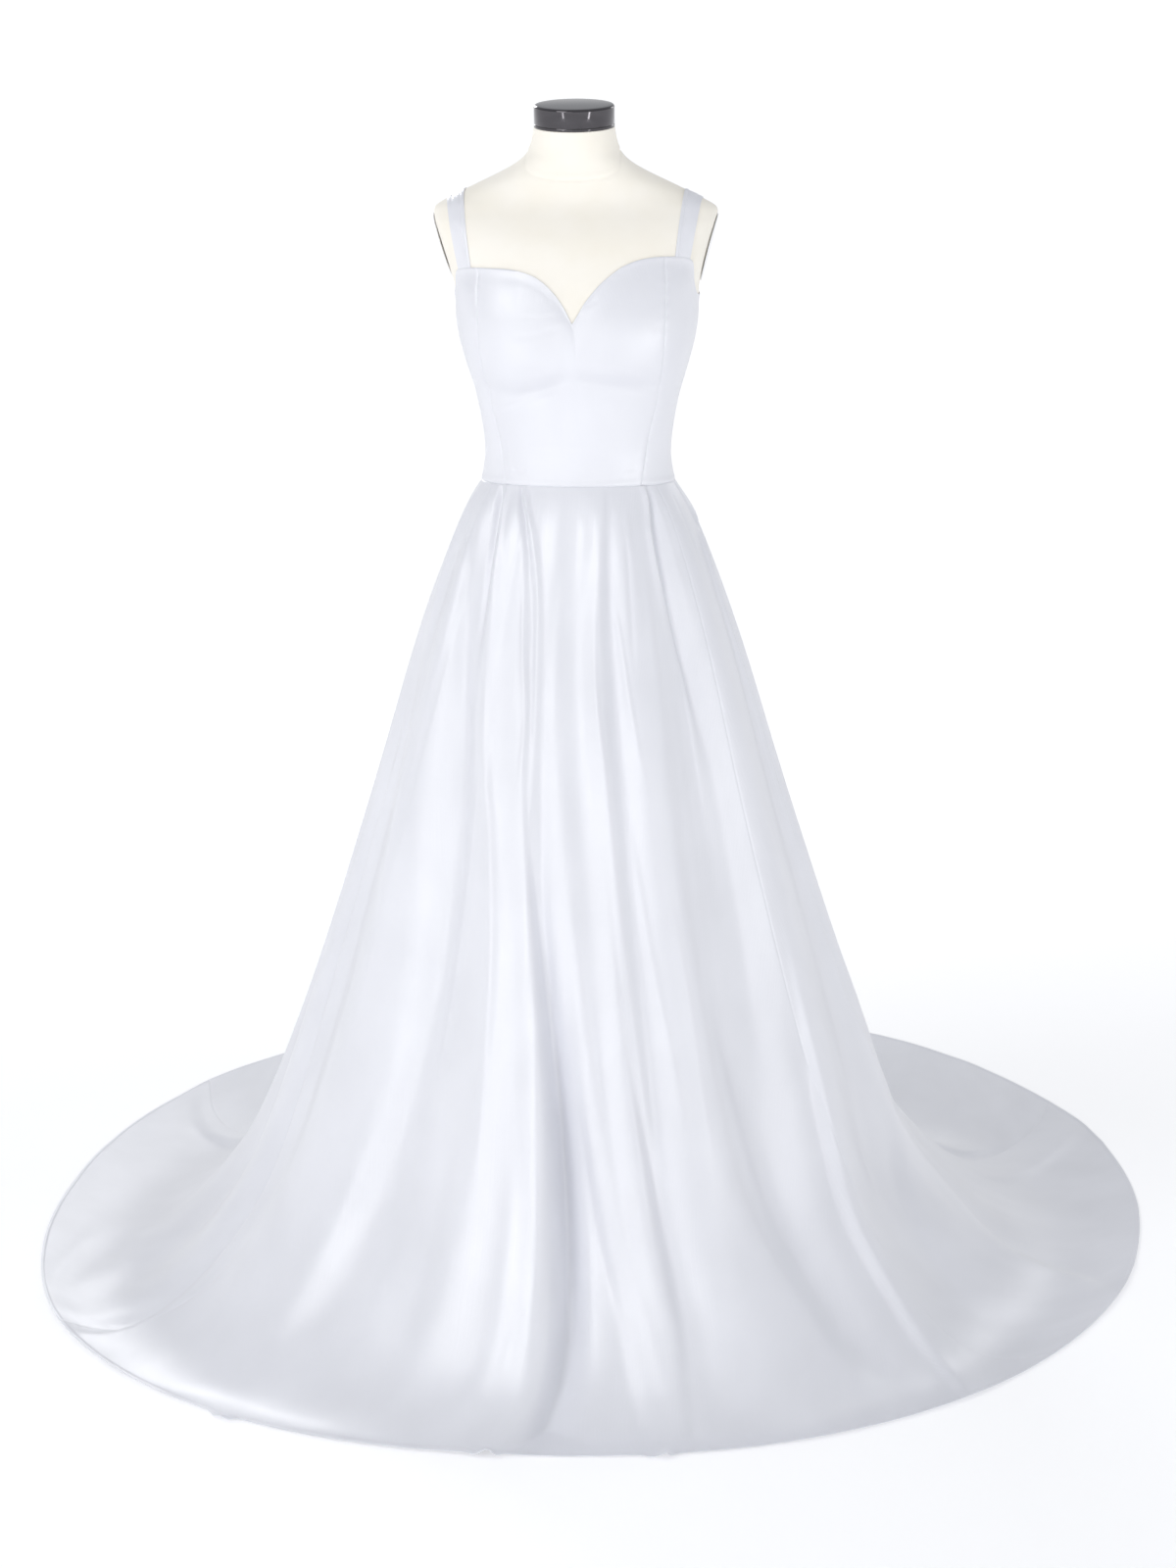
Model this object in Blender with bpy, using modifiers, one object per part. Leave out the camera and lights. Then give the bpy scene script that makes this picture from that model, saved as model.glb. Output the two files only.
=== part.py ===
"""Satin wedding dress with shoulder straps and a round train, standing on a limbless dress form.

Metres, +Z up. The front of the dress faces -Y, the train runs to +Y, and +X is the wearer's left.
The origin lies on the floor, under the middle of the form's pole.
Angles round the body are in degrees from the front, positive towards +X, so the centre back is 180.
"""

import math

import bmesh
import bpy
import numpy as np
from mathutils import Matrix, Vector

# Cloth and seams
WALL = 0.002
SEAM_GAP = 0.0003
# Of the gap, what each panel leaves, with room for a seam that crosses the rings aslant
SEAM_SHARE = 0.65
STRAP_CLEAR = 0.0008

# Heights above the floor
WAIST = 1.098
FORM_BOTTOM = 0.860
NECK_TOP = 1.546
ARMHOLE_BOTTOM = 1.335

# Neckline, whose notch hangs a little to the wearer's left with one cup drawn rounder
NOTCH_HEIGHT = 1.305
NOTCH_X = 0.0035
CORNER_HEIGHT_LEFT = 1.388
CORNER_HEIGHT_RIGHT = 1.373
NECKLINE_HALF = 0.125
NECKLINE_ROUNDNESS_LEFT = 2.75
NECKLINE_ROUNDNESS_RIGHT = 4.1

# Straps
STRAP_RIDGE_X = (0.1405, 0.1625)
SHOULDER_HEIGHTS = (1.445, 1.490)
STRAP_FRONT_ANGLES = (47.0, 59.5)
STRAP_BACK_ANGLES = (144.5, 130.5)
STRAP_LINES = 3
STRAP_STATIONS = 30
STRAP_STEPS = 200

# Dress form, whose top leans a little to the wearer's right
LEAN = -0.005
LEAN_FROM = 1.26
LEAN_FULLY = 1.50
TORSO_COLUMNS = 44
NECK_TILT = math.radians(7.5)
NECK_TILT_FROM = 1.500
CAP_RADIUS = 0.0515
CAP_HEIGHT = 0.0275
CAP_EDGE = 0.004
CAP_DOME = 0.0012
CAP_Y = 0.001
POLE_RADIUS = 0.0125
BASE_RADIUS = 0.170
BASE_THICK = 0.008
HUB_RADIUS = 0.026
HUB_HEIGHT = 0.045
HUB_FILLET = 0.012
# The fillet stops short of a quarter turn, so that the base falls a little to its edge
FILLET_TURN = 75
BASE_EDGE = 0.003
ARMPLATE_THICK = 0.0022
ARMPLATE_EDGE = 0.0007
ARMPLATE_CLEAR = 0.0006
ARMPLATE_HALF_HEIGHT = 0.044
ARMPLATE_HALF_DEPTH = 0.031
ARMPLATE_CENTRE_HEIGHT = 1.395
ARMPLATE_CENTRE_Y = 0.010
ARM_CUT_FROM = 1.320
ARM_PLANE_LOW = (1.330, 0.151)
ARM_PLANE_HIGH = (1.450, 0.1855)

# Zip at the centre back
ZIP_HEIGHT = 1.2625
SLIDER_SIZE = (0.006, 0.0025, 0.009)
EAR_INSIDE = 0.0014
EAR_THICK = 0.001
EAR_REACH = 0.003
EAR_HEIGHT = 0.004
BARREL_RADIUS = 0.001
BARREL_LENGTH = 0.0022
BARREL_STAND_OFF = 0.0015
TAB_THICK = 0.0012
TAB_LENGTH = 0.022
TAB_NECK = 0.0045
TAB_WIDTH = 0.005
TAB_ROUNDING = 0.0004
UNION_OVERLAP = 0.0005

SECTION_COLUMNS = ("height", "half_width", "front", "back", "side", "front_square", "back_square")

# Rings of the form, from the cut under the hips to the neck plate
TORSO = (
    (0.860, 0.1600, -0.1050, 0.1200, 0.005, 2.2, 2.2),
    (0.930, 0.1720, -0.1120, 0.1280, 0.005, 2.2, 2.2),
    (1.000, 0.1580, -0.1050, 0.1120, 0.004, 2.2, 2.2),
    (1.060, 0.1350, -0.0940, 0.0940, 0.002, 2.2, 2.2),
    (1.120, 0.1155, -0.0830, 0.0830, 0.000, 2.2, 2.2),
    (1.160, 0.1185, -0.0860, 0.0880, 0.000, 2.2, 2.2),
    (1.210, 0.1270, -0.0970, 0.0960, 0.000, 2.3, 2.3),
    (1.250, 0.1385, -0.1130, 0.1020, 0.000, 2.4, 2.4),
    (1.290, 0.1480, -0.1220, 0.1060, 0.000, 2.5, 2.5),
    (1.330, 0.1540, -0.1140, 0.1100, 0.002, 2.5, 2.5),
    (1.370, 0.1635, -0.1000, 0.1080, 0.006, 2.5, 2.5),
    (1.405, 0.1760, -0.0850, 0.1000, 0.010, 2.4, 2.4),
    (1.430, 0.1840, -0.0680, 0.0880, 0.012, 2.3, 2.3),
    (1.445, 0.1800, -0.0560, 0.0760, 0.014, 2.2, 2.2),
    (1.456, 0.1620, -0.0500, 0.0700, 0.014, 2.2, 2.2),
    (1.468, 0.1400, -0.0470, 0.0660, 0.013, 2.2, 2.2),
    (1.480, 0.1150, -0.0455, 0.0620, 0.011, 2.2, 2.2),
    (1.492, 0.0900, -0.0450, 0.0570, 0.008, 2.1, 2.1),
    (1.503, 0.0715, -0.0460, 0.0530, 0.005, 2.1, 2.1),
    (1.515, 0.0595, -0.0470, 0.0505, 0.003, 2.0, 2.0),
    (1.530, 0.0545, -0.0485, 0.0500, 0.001, 2.0, 2.0),
    (1.546, 0.0515, -0.0505, 0.0525, 0.000, 2.0, 2.0),
)

# Rings of the bodice's outer face: the satin is stretched flat between the bust points
BODICE = (
    (1.098, 0.1250, -0.0900, 0.0900, 0.000, 2.2, 2.2),
    (1.135, 0.1196, -0.0875, 0.0880, 0.000, 2.2, 2.2),
    (1.160, 0.1218, -0.0900, 0.0915, 0.000, 2.3, 2.2),
    (1.210, 0.1307, -0.1025, 0.0998, 0.000, 2.5, 2.3),
    (1.235, 0.1380, -0.1185, 0.1038, 0.000, 2.6, 2.4),
    (1.256, 0.1441, -0.1262, 0.1066, 0.000, 2.7, 2.4),
    (1.285, 0.1512, -0.1262, 0.1095, 0.000, 2.9, 2.5),
    (1.310, 0.1553, -0.1235, 0.1120, 0.001, 2.8, 2.5),
    (1.335, 0.1592, -0.1165, 0.1134, 0.002, 2.7, 2.5),
    (1.370, 0.1672, -0.1040, 0.1118, 0.006, 2.6, 2.5),
    (1.405, 0.1797, -0.0888, 0.1038, 0.010, 2.5, 2.4),
)

# Rings of the skirt's outer face, from the waist seam down to the floor and out to the hem
SKIRT = (
    (1.098, 0.1250, -0.0900, 0.0900, 0.000, 2.20, 2.2),
    (1.080, 0.1370, -0.1010, 0.1000, 0.000, 2.20, 2.1),
    (1.055, 0.1500, -0.1150, 0.1140, 0.000, 2.20, 2.1),
    (1.019, 0.1650, -0.1300, 0.1330, 0.000, 2.20, 2.1),
    (0.960, 0.1870, -0.1510, 0.1620, 0.002, 2.15, 2.0),
    (0.860, 0.2200, -0.1840, 0.2100, 0.008, 2.10, 2.0),
    (0.740, 0.2530, -0.2220, 0.2700, 0.018, 2.10, 2.0),
    (0.610, 0.2920, -0.2620, 0.3380, 0.032, 2.10, 2.0),
    (0.480, 0.3320, -0.3040, 0.4100, 0.050, 2.10, 2.0),
    (0.360, 0.3730, -0.3440, 0.4840, 0.070, 2.10, 2.0),
    (0.260, 0.4100, -0.3800, 0.5520, 0.092, 2.10, 2.0),
    (0.180, 0.4480, -0.4140, 0.6120, 0.112, 2.15, 2.0),
    (0.115, 0.5000, -0.4480, 0.6740, 0.135, 2.20, 2.0),
    (0.065, 0.5480, -0.4840, 0.7380, 0.162, 2.20, 2.0),
    (0.030, 0.6000, -0.5200, 0.8060, 0.200, 2.25, 2.0),
    (0.010, 0.6500, -0.5520, 0.8800, 0.245, 2.30, 2.0),
    (0.003, 0.7000, -0.5720, 0.9800, 0.290, 2.30, 2.0),
    (0.002, 0.7450, -0.5880, 1.1500, 0.335, 2.22, 2.0),
    (0.002, 0.7800, -0.6020, 1.3800, 0.380, 2.18, 2.0),
)
# Stations between which the cloth turns from hanging to lying on the floor
SKIRT_LIES_FROM = 12.0
SKIRT_LIES_FULLY = 16.0
# Of a fold's depth, how much is lost sideways and how much rises where the cloth lies
LYING_LOSS = 0.4
LYING_RISE = 0.5
# How far the front of the hem lies towards the wearer's right
HEM_SWAY = -0.024

# Folds of the skirt: the angle and the outward depth in mm at five places below the waist seam,
# and how far the fold spreads to its lower-angle and higher-angle side, in degrees
FOLD_STATIONS = (0.0, 4.0, 8.0, 11.0, 14.0, 18.0)
FOLD_PLACES = ("hip", "knee", "shin", "floor", "hem")
FOLD_COLUMNS = (
    "name",
    "angle_hip", "angle_knee", "angle_shin", "angle_floor", "angle_hem",
    "depth_hip", "depth_knee", "depth_shin", "depth_floor", "depth_hem",
    "spread_low", "spread_high",
)
FOLDS = (
    ("left outer ridge", -93, -87, -87, -77, -57, 2, 9, 14, 11, 6, 7, 6),
    ("left outer trough", -82, -79, -77, -70, -55, -2, -9, -12, -5, 0, 5, 5),
    ("left second ridge", -74, -73, -68, -64, -52, 3, 12, 17, 10, 5, 6, 6),
    ("left fine trough", -62, -60, -59, -54, -46, -3, -7, -9, -3, 0, 5, 5),
    ("left broad ridge", -50, -48, -50, -46, -40, 6, 11, 13, 9, 5, 8, 8),
    ("left broad trough", -41, -28, -30, -29, -24, -9, -18, -23, -10, 0, 7, 8),
    ("centre left ridge", -29, -14, -13, -13, -13, 5, 9, 8, 5, 3, 5, 5),
    ("lapped crease ridge", -15, -4, -1.5, -1.5, -1.5, 4, 12, 23, 15, 6, 7, 2.4),
    ("lapped crease trough", -12, -0.5, 2.5, 2.5, 3, -4, -11, -17, -8, 0, 2.2, 3.5),
    ("centre ridge", -5, 4, 7, 8, 8, 4, 7, 8, 5, 3, 3.5, 3.5),
    ("low centre trough", 2, 7, 10.5, 12.5, 13, -1, -4, -11, -7, 0, 3, 3),
    ("centre right ridge", 10, 14, 15, 16, 16, 5, 8, 10, 6, 3, 4, 2.6),
    ("right fine trough", 15, 18, 18.5, 18, 16, -4, -8, -9, -5, 0, 2.4, 2.6),
    ("right wide ridge", 22, 25, 27, 27, 26, 6, 11, 13, 8, 4, 5, 8),
    ("right broad trough", 42, 43, 41, 39, 36, -8, -16, -18, -8, 0, 8, 7),
    ("right ridge", 60, 61, 53, 49, 42, 5, 12, 15, 10, 5, 8, 7),
    ("right trough", 80, 78, 67, 62, 54, -3, -10, -13, -6, 0, 6, 6),
    ("right outer ridge", 96, 92, 80, 79, 72, 2, 8, 11, 8, 4, 7, 7),
    ("right back trough", 108, 108, 104, 100, 96, -4, -11, -12, -4, 0, 6, 6),
    ("right back ridge", 120, 122, 120, 116, 112, 5, 13, 15, 7, 3, 7, 7),
    ("right back fine trough", 132, 134, 133, 130, 126, -4, -11, -11, -3, 0, 5, 5),
    ("right back inner ridge", 144, 147, 147, 146, 144, 5, 12, 13, 6, 3, 6, 6),
    ("centre back right trough", 158, 160, 161, 161, 160, -5, -13, -12, -3, 0, 6, 6),
    ("centre back ridge", 173, 175, 176, 177, 178, 5, 12, 12, 5, 2, 6, 6),
    ("centre back left trough", 188, 189, 190, 190, 190, -5, -12, -11, -3, 0, 6, 5),
    ("left back inner ridge", -157, -156, -155, -155, -156, 5, 12, 13, 6, 3, 6, 6),
    ("left back trough", -143, -141, -140, -140, -142, -5, -12, -12, -4, 0, 6, 6),
    ("left back ridge", -129, -126, -124, -122, -122, 5, 13, 14, 7, 3, 7, 6),
    ("left back fine trough", -113, -110, -108, -105, -100, -4, -10, -10, -4, 0, 6, 6),
)

# Skirt gores, with the number of columns of faces in each
GORE_COLUMNS = ("name", "from_angle", "to_angle", "columns")
GORES = (
    ("skirt_front", -55, 55, 40),
    ("skirt_side_left", 55, 120, 16),
    ("skirt_back_left", 120, 180, 13),
    ("skirt_back_right", 180, 240, 13),
    ("skirt_side_right", 240, 305, 16),
)
SKIRT_STATIONS = (
    0, 0.7, 1.5, 2.4, 3.3, 4.2, 5, 5.8, 6.6, 7.4, 8.2, 9,
    9.8, 10.6, 11.4, 12.2, 13, 13.8, 14.6, 15.4, 16.2, 17, 18,
)

# Seams of the bodice: half distance of the front princess seam, and angle of the back one
PRINCESS_COLUMNS = ("height", "front_x", "back_angle")
PRINCESS = (
    (1.098, 0.087, 140.0),
    (1.160, 0.096, 139.0),
    (1.220, 0.110, 136.0),
    (1.285, 0.118, 132.0),
    (1.340, 0.1195, 129.5),
    (1.405, 0.120, 128.0),
)

# Upper edge of the bodice outside the front panel, as angle and height
EDGE_COLUMNS = ("angle", "height", "share_of_corner")
TOP_EDGE = (
    (38.0, 1.388, 1.00),
    (50.0, 1.387, 1.00),
    (61.0, 1.381, 0.90),
    (72.0, 1.352, 0.45),
    (82.0, 1.338, 0.10),
    (90.0, ARMHOLE_BOTTOM, 0.0),
    (102.0, 1.337, 0.0),
    (116.0, 1.346, 0.0),
    (129.0, 1.360, 0.0),
    (146.0, 1.360, 0.0),
    (153.0, 1.336, 0.0),
    (163.0, 1.299, 0.0),
    (172.0, 1.277, 0.0),
    (180.0, 1.270, 0.0),
)
BODICE_ROWS = 10
SETTLING_ROUNDS = 20
FRONT_HALF_COLUMNS = 8
FRONT_CROWDING = 1.45
BODICE_PANELS = (
    ("bodice_side_front", "princess", "side", 8),
    ("bodice_side_back", "side", "back_princess", 6),
    ("bodice_back", "back_princess", "centre_back", 8),
)

COLOURS = {
    "satin": (0.90, 0.91, 0.95),
    "cover": (0.90, 0.87, 0.78),
    "steel": (0.55, 0.55, 0.56),
    "enamel": (0.05, 0.05, 0.06),
    "zip": (0.86, 0.87, 0.90),
}
ROUGHNESS = {"satin": 0.35, "cover": 0.85, "steel": 0.30, "enamel": 0.45, "zip": 0.30}
METALLIC = {"satin": 0.0, "cover": 0.0, "steel": 1.0, "enamel": 0.0, "zip": 0.0}


def smooth_curve(stations, values):
    """Curve through a table's column that never overshoots it, as a function of the station."""
    stations = np.asarray(stations, float)
    values = np.asarray(values, float)
    steps = np.diff(stations)
    slopes = np.diff(values) / steps
    tangents = np.zeros_like(values)
    same_way = slopes[:-1] * slopes[1:] > 0
    total = np.where(same_way, slopes[:-1] + slopes[1:], 1.0)
    tangents[1:-1] = np.where(same_way, 2 * slopes[:-1] * slopes[1:] / total, 0.0)
    tangents[0] = slopes[0]
    tangents[-1] = slopes[-1]

    def curve(at):
        at = np.asarray(at, float)
        low = np.clip(np.searchsorted(stations, at, side="right") - 1, 0, len(steps) - 1)
        step = steps[low]
        s = np.clip((at - stations[low]) / step, 0.0, 1.0)
        start = values[low] * (1 + 2 * s) * (1 - s) ** 2 + tangents[low] * step * s * (1 - s) ** 2
        end = values[low + 1] * (3 - 2 * s) * s**2 - tangents[low + 1] * step * s**2 * (1 - s)
        return start + end

    return curve


def column(names, rows, name):
    """One named column of a table."""
    place = names.index(name)
    return [row[place] for row in rows]


def section_curves(rows, stations):
    """One smooth curve for each named column of a table of rings."""
    return {
        name: smooth_curve(stations, column(SECTION_COLUMNS, rows, name))
        for name in SECTION_COLUMNS
    }


def ring_point(curves, station, angle):
    """Point of a lofted surface at a station of its table and an angle in degrees."""
    turn = np.radians(angle)
    sine, cosine = np.sin(turn), np.cos(turn)
    at_front = cosine > 0
    power = 2 / np.where(at_front, curves["front_square"](station), curves["back_square"](station))
    side = curves["side"](station)
    depth = np.where(at_front, side - curves["front"](station), curves["back"](station) - side)
    x = curves["half_width"](station) * np.sign(sine) * np.abs(sine) ** power
    y = side - depth * np.sign(cosine) * np.abs(cosine) ** power
    height = curves["height"](station) + 0 * x
    return np.stack([x, y, height], axis=-1)


TORSO_HEIGHTS = column(SECTION_COLUMNS, TORSO, "height")
TORSO_CURVES = section_curves(TORSO, TORSO_HEIGHTS)
BODICE_CURVES = section_curves(BODICE, column(SECTION_COLUMNS, BODICE, "height"))
SKIRT_CURVES = section_curves(SKIRT, range(len(SKIRT)))


def ease(value, low, high):
    """0 below low, 1 above high, and a soft step between."""
    s = np.clip((value - low) / (high - low), 0.0, 1.0)
    return s * s * (3 - 2 * s)


def arm_plane(height):
    """How far out the flat cut for the armplate lies at a height."""
    low_height, low_x = ARM_PLANE_LOW
    high_height, high_x = ARM_PLANE_HIGH
    return low_x + (high_x - low_x) * (height - low_height) / (high_height - low_height)


def lean(height):
    """Sideways lean of the form and of the bodice on it."""
    return LEAN * ease(height, LEAN_FROM, LEAN_FULLY)


def torso_point(height, angle):
    """Surface of the form, with its flat arm cuts and its neck tilted forward."""
    point = ring_point(TORSO_CURVES, height, angle)
    x = point[..., 0]
    in_cut = (height > ARM_CUT_FROM) & (height < ARM_PLANE_HIGH[0])
    limit = np.where(in_cut, arm_plane(height), 1.0)
    point[..., 0] = np.sign(x) * np.minimum(np.abs(x), limit) + lean(height)
    tilt = math.tan(NECK_TILT) * ease(height, NECK_TILT_FROM, NECK_TOP)
    point[..., 2] = height + tilt * point[..., 1]
    return point


def bodice_point(height, angle):
    """Outer face of the bodice, which leans with the form."""
    point = ring_point(BODICE_CURVES, height, angle)
    point[..., 0] += lean(height)
    return point


def fold_curves():
    """Angle and depth of each fold as curves of the skirt's station."""
    curves = []
    for row in FOLDS:
        fold = dict(zip(FOLD_COLUMNS, row))
        angles = [fold[f"angle_{place}"] for place in FOLD_PLACES]
        depths = [fold[f"depth_{place}"] / 1000 for place in FOLD_PLACES]
        curves.append((
            smooth_curve(FOLD_STATIONS, [angles[0], *angles]),
            smooth_curve(FOLD_STATIONS, [0.0, *depths]),
            fold["spread_low"],
            fold["spread_high"],
        ))
    return curves


FOLD_CURVES = fold_curves()


def fold_depth(station, angle):
    """How far the folds push the skirt outwards."""
    push = 0.0
    for fold_angle, depth, spread_low, spread_high in FOLD_CURVES:
        away = (angle - fold_angle(station) + 180) % 360 - 180
        spread = np.where(away < 0, spread_low, spread_high)
        push = push + depth(station) * np.exp(-((away / spread) ** 2))
    return push


def skirt_point(station, angle):
    """Outer face of the skirt: its rings, pushed out and in by the folds, never under the floor."""
    point = ring_point(SKIRT_CURVES, station, angle)
    push = fold_depth(station, angle)
    out_x = point[..., 0]
    out_y = point[..., 1] - SKIRT_CURVES["side"](station)
    reach = np.hypot(out_x, out_y)
    lying = ease(station, SKIRT_LIES_FROM, SKIRT_LIES_FULLY)
    along = push * (1 - LYING_LOSS * lying)
    to_front = np.clip(-out_y / (SKIRT_CURVES["side"](station) - SKIRT_CURVES["front"](station)), 0.0, 1.0)
    point[..., 0] += along * out_x / reach + HEM_SWAY * lying * to_front
    point[..., 1] += along * out_y / reach
    point[..., 2] = np.maximum(point[..., 2] + LYING_RISE * lying * push, WALL)
    return point


# Small steps for the slope of a surface: along a skirt's table, in metres of height, in degrees
STATION_STEP = 0.02
HEIGHT_STEP = 0.001
ANGLE_STEP = 0.2


def surface_normals(surface, first, second, first_step, second_step, outward):
    """Unit normals of a surface of two values, from small steps each way."""
    along_first = surface(first + first_step, second) - surface(first - first_step, second)
    along_second = surface(first, second + second_step) - surface(first, second - second_step)
    normals = np.cross(along_second, along_first) * outward
    return normals / np.linalg.norm(normals, axis=-1, keepdims=True)


def level(normals):
    """The same directions without their rise, so that an edge stays level."""
    flat = normals * np.array([1.0, 1.0, 0.0])
    return flat / np.linalg.norm(flat, axis=-1, keepdims=True)


def make_material(name, kind):
    material = bpy.data.materials.new(name)
    material.use_nodes = True
    shader = material.node_tree.nodes["Principled BSDF"]
    shader.inputs["Base Color"].default_value = (*COLOURS[kind], 1.0)
    shader.inputs["Roughness"].default_value = ROUGHNESS[kind]
    shader.inputs["Metallic"].default_value = METALLIC[kind]
    return material


def finish_object(obj, kind, smooth_angle=40):
    """Own material, smooth shading and a place in the dress's collection."""
    obj.data.materials.clear()
    obj.data.materials.append(make_material(obj.name, kind))
    obj.data.shade_smooth()
    obj.data.set_sharp_from_angle(angle=math.radians(smooth_angle))
    for collection in list(obj.users_collection):
        collection.objects.unlink(obj)
    DRESS.objects.link(obj)
    return obj


def object_from_bmesh(name, mesh_data, kind):
    bmesh.ops.recalc_face_normals(mesh_data, faces=mesh_data.faces)
    mesh = bpy.data.meshes.new(name)
    mesh_data.to_mesh(mesh)
    mesh_data.free()
    obj = bpy.data.objects.new(name, mesh)
    bpy.context.scene.collection.objects.link(obj)
    return finish_object(obj, kind)


def wall_object(name, outer, inner, kind="satin"):
    """Closed wall between an outer and an inner grid of points, split along the same diagonals."""
    rows, columns = outer.shape[:2]
    mesh_data = bmesh.new()
    faces_of = []
    for grid in (outer, inner):
        faces_of.append([[mesh_data.verts.new(point) for point in line] for line in grid])
    for row in range(rows - 1):
        for column in range(columns - 1):
            rising = np.linalg.norm(outer[row, column] - outer[row + 1, column + 1])
            falling = np.linalg.norm(outer[row, column + 1] - outer[row + 1, column])
            for verts in faces_of:
                a, b = verts[row][column], verts[row][column + 1]
                c, d = verts[row + 1][column + 1], verts[row + 1][column]
                if rising < falling:
                    mesh_data.faces.new((a, b, c))
                    mesh_data.faces.new((a, c, d))
                else:
                    mesh_data.faces.new((a, b, d))
                    mesh_data.faces.new((b, c, d))
    outside, inside = faces_of
    rims = [
        (outside[0], inside[0]),
        (outside[-1], inside[-1]),
        ([line[0] for line in outside], [line[0] for line in inside]),
        ([line[-1] for line in outside], [line[-1] for line in inside]),
    ]
    for outer_edge, inner_edge in rims:
        for k in range(len(outer_edge) - 1):
            mesh_data.faces.new((outer_edge[k], outer_edge[k + 1], inner_edge[k + 1]))
            mesh_data.faces.new((outer_edge[k], inner_edge[k + 1], inner_edge[k]))
    return object_from_bmesh(name, mesh_data, kind)


def seam_room(surface, stations, angles):
    """Turn in degrees that leaves this panel's share of the seam's gap free."""
    turn = 0.01
    step = np.linalg.norm(surface(stations, angles + turn) - surface(stations, angles - turn), axis=-1)
    return SEAM_SHARE * SEAM_GAP * 2 * turn / step


def build_skirt():
    stations = np.array(SKIRT_STATIONS, float)
    for row in GORES:
        gore = dict(zip(GORE_COLUMNS, row))
        low = gore["from_angle"] + seam_room(skirt_point, stations, gore["from_angle"])
        high = gore["to_angle"] - seam_room(skirt_point, stations, gore["to_angle"])
        shares = np.linspace(0.0, 1.0, gore["columns"] + 1)
        angles = low[:, None] + (high - low)[:, None] * shares
        down = np.repeat(stations[:, None], len(shares), axis=1)
        outer = skirt_point(down, angles)
        normals = surface_normals(skirt_point, down, angles, STATION_STEP, ANGLE_STEP, -1.0)
        normals[0] = level(normals[0])
        inner = outer - WALL * normals
        inner[..., 2] = np.maximum(inner[..., 2], 0.0)
        flat = (down >= SKIRT_LIES_FULLY) & (outer[..., 2] <= WALL)
        inner[flat, 2] = 0.0
        wall_object(gore["name"], outer, inner)


def neckline_height(x):
    """Sweetheart edge of the front panel at a distance from the middle."""
    share = np.clip(np.abs(x - NOTCH_X) / NECKLINE_HALF, 0.0, 1.0)
    on_left = x > NOTCH_X
    corner = np.where(on_left, CORNER_HEIGHT_LEFT, CORNER_HEIGHT_RIGHT)
    roundness = np.where(on_left, NECKLINE_ROUNDNESS_LEFT, NECKLINE_ROUNDNESS_RIGHT)
    return NOTCH_HEIGHT + (corner - NOTCH_HEIGHT) * (1 - (1 - share) ** roundness)


EDGE_ANGLES = column(EDGE_COLUMNS, TOP_EDGE, "angle")
EDGE_HEIGHT = smooth_curve(EDGE_ANGLES, column(EDGE_COLUMNS, TOP_EDGE, "height"))
EDGE_SHARE = smooth_curve(EDGE_ANGLES, column(EDGE_COLUMNS, TOP_EDGE, "share_of_corner"))


def edge_height(angle):
    """Upper edge of the bodice at the sides and the back."""
    turned_from_front = (np.asarray(angle, float) + 180) % 360 - 180
    size = np.abs(turned_from_front)
    drop = CORNER_HEIGHT_LEFT - CORNER_HEIGHT_RIGHT
    return EDGE_HEIGHT(size) - np.where(turned_from_front < 0, drop * EDGE_SHARE(size), 0.0)


PRINCESS_HEIGHTS = column(PRINCESS_COLUMNS, PRINCESS, "height")
PRINCESS_X = smooth_curve(PRINCESS_HEIGHTS, column(PRINCESS_COLUMNS, PRINCESS, "front_x"))
PRINCESS_BACK = smooth_curve(PRINCESS_HEIGHTS, column(PRINCESS_COLUMNS, PRINCESS, "back_angle"))


def front_angle(x, height):
    """Angle of a point on the front of the bodice at a distance from the middle."""
    power = BODICE_CURVES["front_square"](height) / 2
    share = x / BODICE_CURVES["half_width"](height)
    return np.degrees(np.arcsin(share**power))


def seam_angle(seam, height):
    """Angle of a named seam of the bodice at a height."""
    if seam == "princess":
        return front_angle(PRINCESS_X(height), height)
    if seam == "side":
        return 90.0 + 0 * height
    if seam == "back_princess":
        return PRINCESS_BACK(height)
    return 180.0 + 0 * height


def seam_top(seam, way):
    """Height at which a seam meets the bodice's upper edge on one side of the body."""
    height = ARMHOLE_BOTTOM
    for _ in range(SETTLING_ROUNDS):
        angle = seam_angle(seam, np.array(height))
        if seam == "princess":
            height = float(neckline_height(way * PRINCESS_X(height)))
        else:
            height = float(edge_height(way * angle))
    return height


def bodice_wall(name, low_seam, high_seam, shares, edge):
    """One panel between two seams, each named with its side of the body, under its own upper edge."""
    bottom = WAIST + SEAM_GAP
    up = np.linspace(0.0, 1.0, BODICE_ROWS + 1)
    tops = [seam_top(*seam) for seam in (low_seam, high_seam)]
    low, high = [
        way * seam_angle(seam, bottom + (top - bottom) * up)
        for (seam, way), top in zip((low_seam, high_seam), tops)
    ]
    upper_edge = edge(low[-1] + (high[-1] - low[-1]) * shares)
    upper_edge[[0, -1]] = tops
    heights = bottom + (upper_edge - bottom) * up[:, None]
    angles = low[:, None] + (high - low)[:, None] * shares
    angles[:, 0] += seam_room(bodice_point, heights[:, 0], angles[:, 0])
    angles[:, -1] -= seam_room(bodice_point, heights[:, -1], angles[:, -1])
    outer = bodice_point(heights, angles)
    normals = surface_normals(bodice_point, heights, angles, HEIGHT_STEP, ANGLE_STEP, 1.0)
    normals[0] = level(normals[0])
    wall_object(name, outer, outer - WALL * normals)


def front_edge(angles):
    """Sweetheart edge as a function of the angle."""
    heights = np.full(len(angles), CORNER_HEIGHT_RIGHT)
    for _ in range(SETTLING_ROUNDS):
        x = ring_point(BODICE_CURVES, heights, angles)[:, 0]
        heights = (heights + neckline_height(x)) / 2
    return heights


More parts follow.
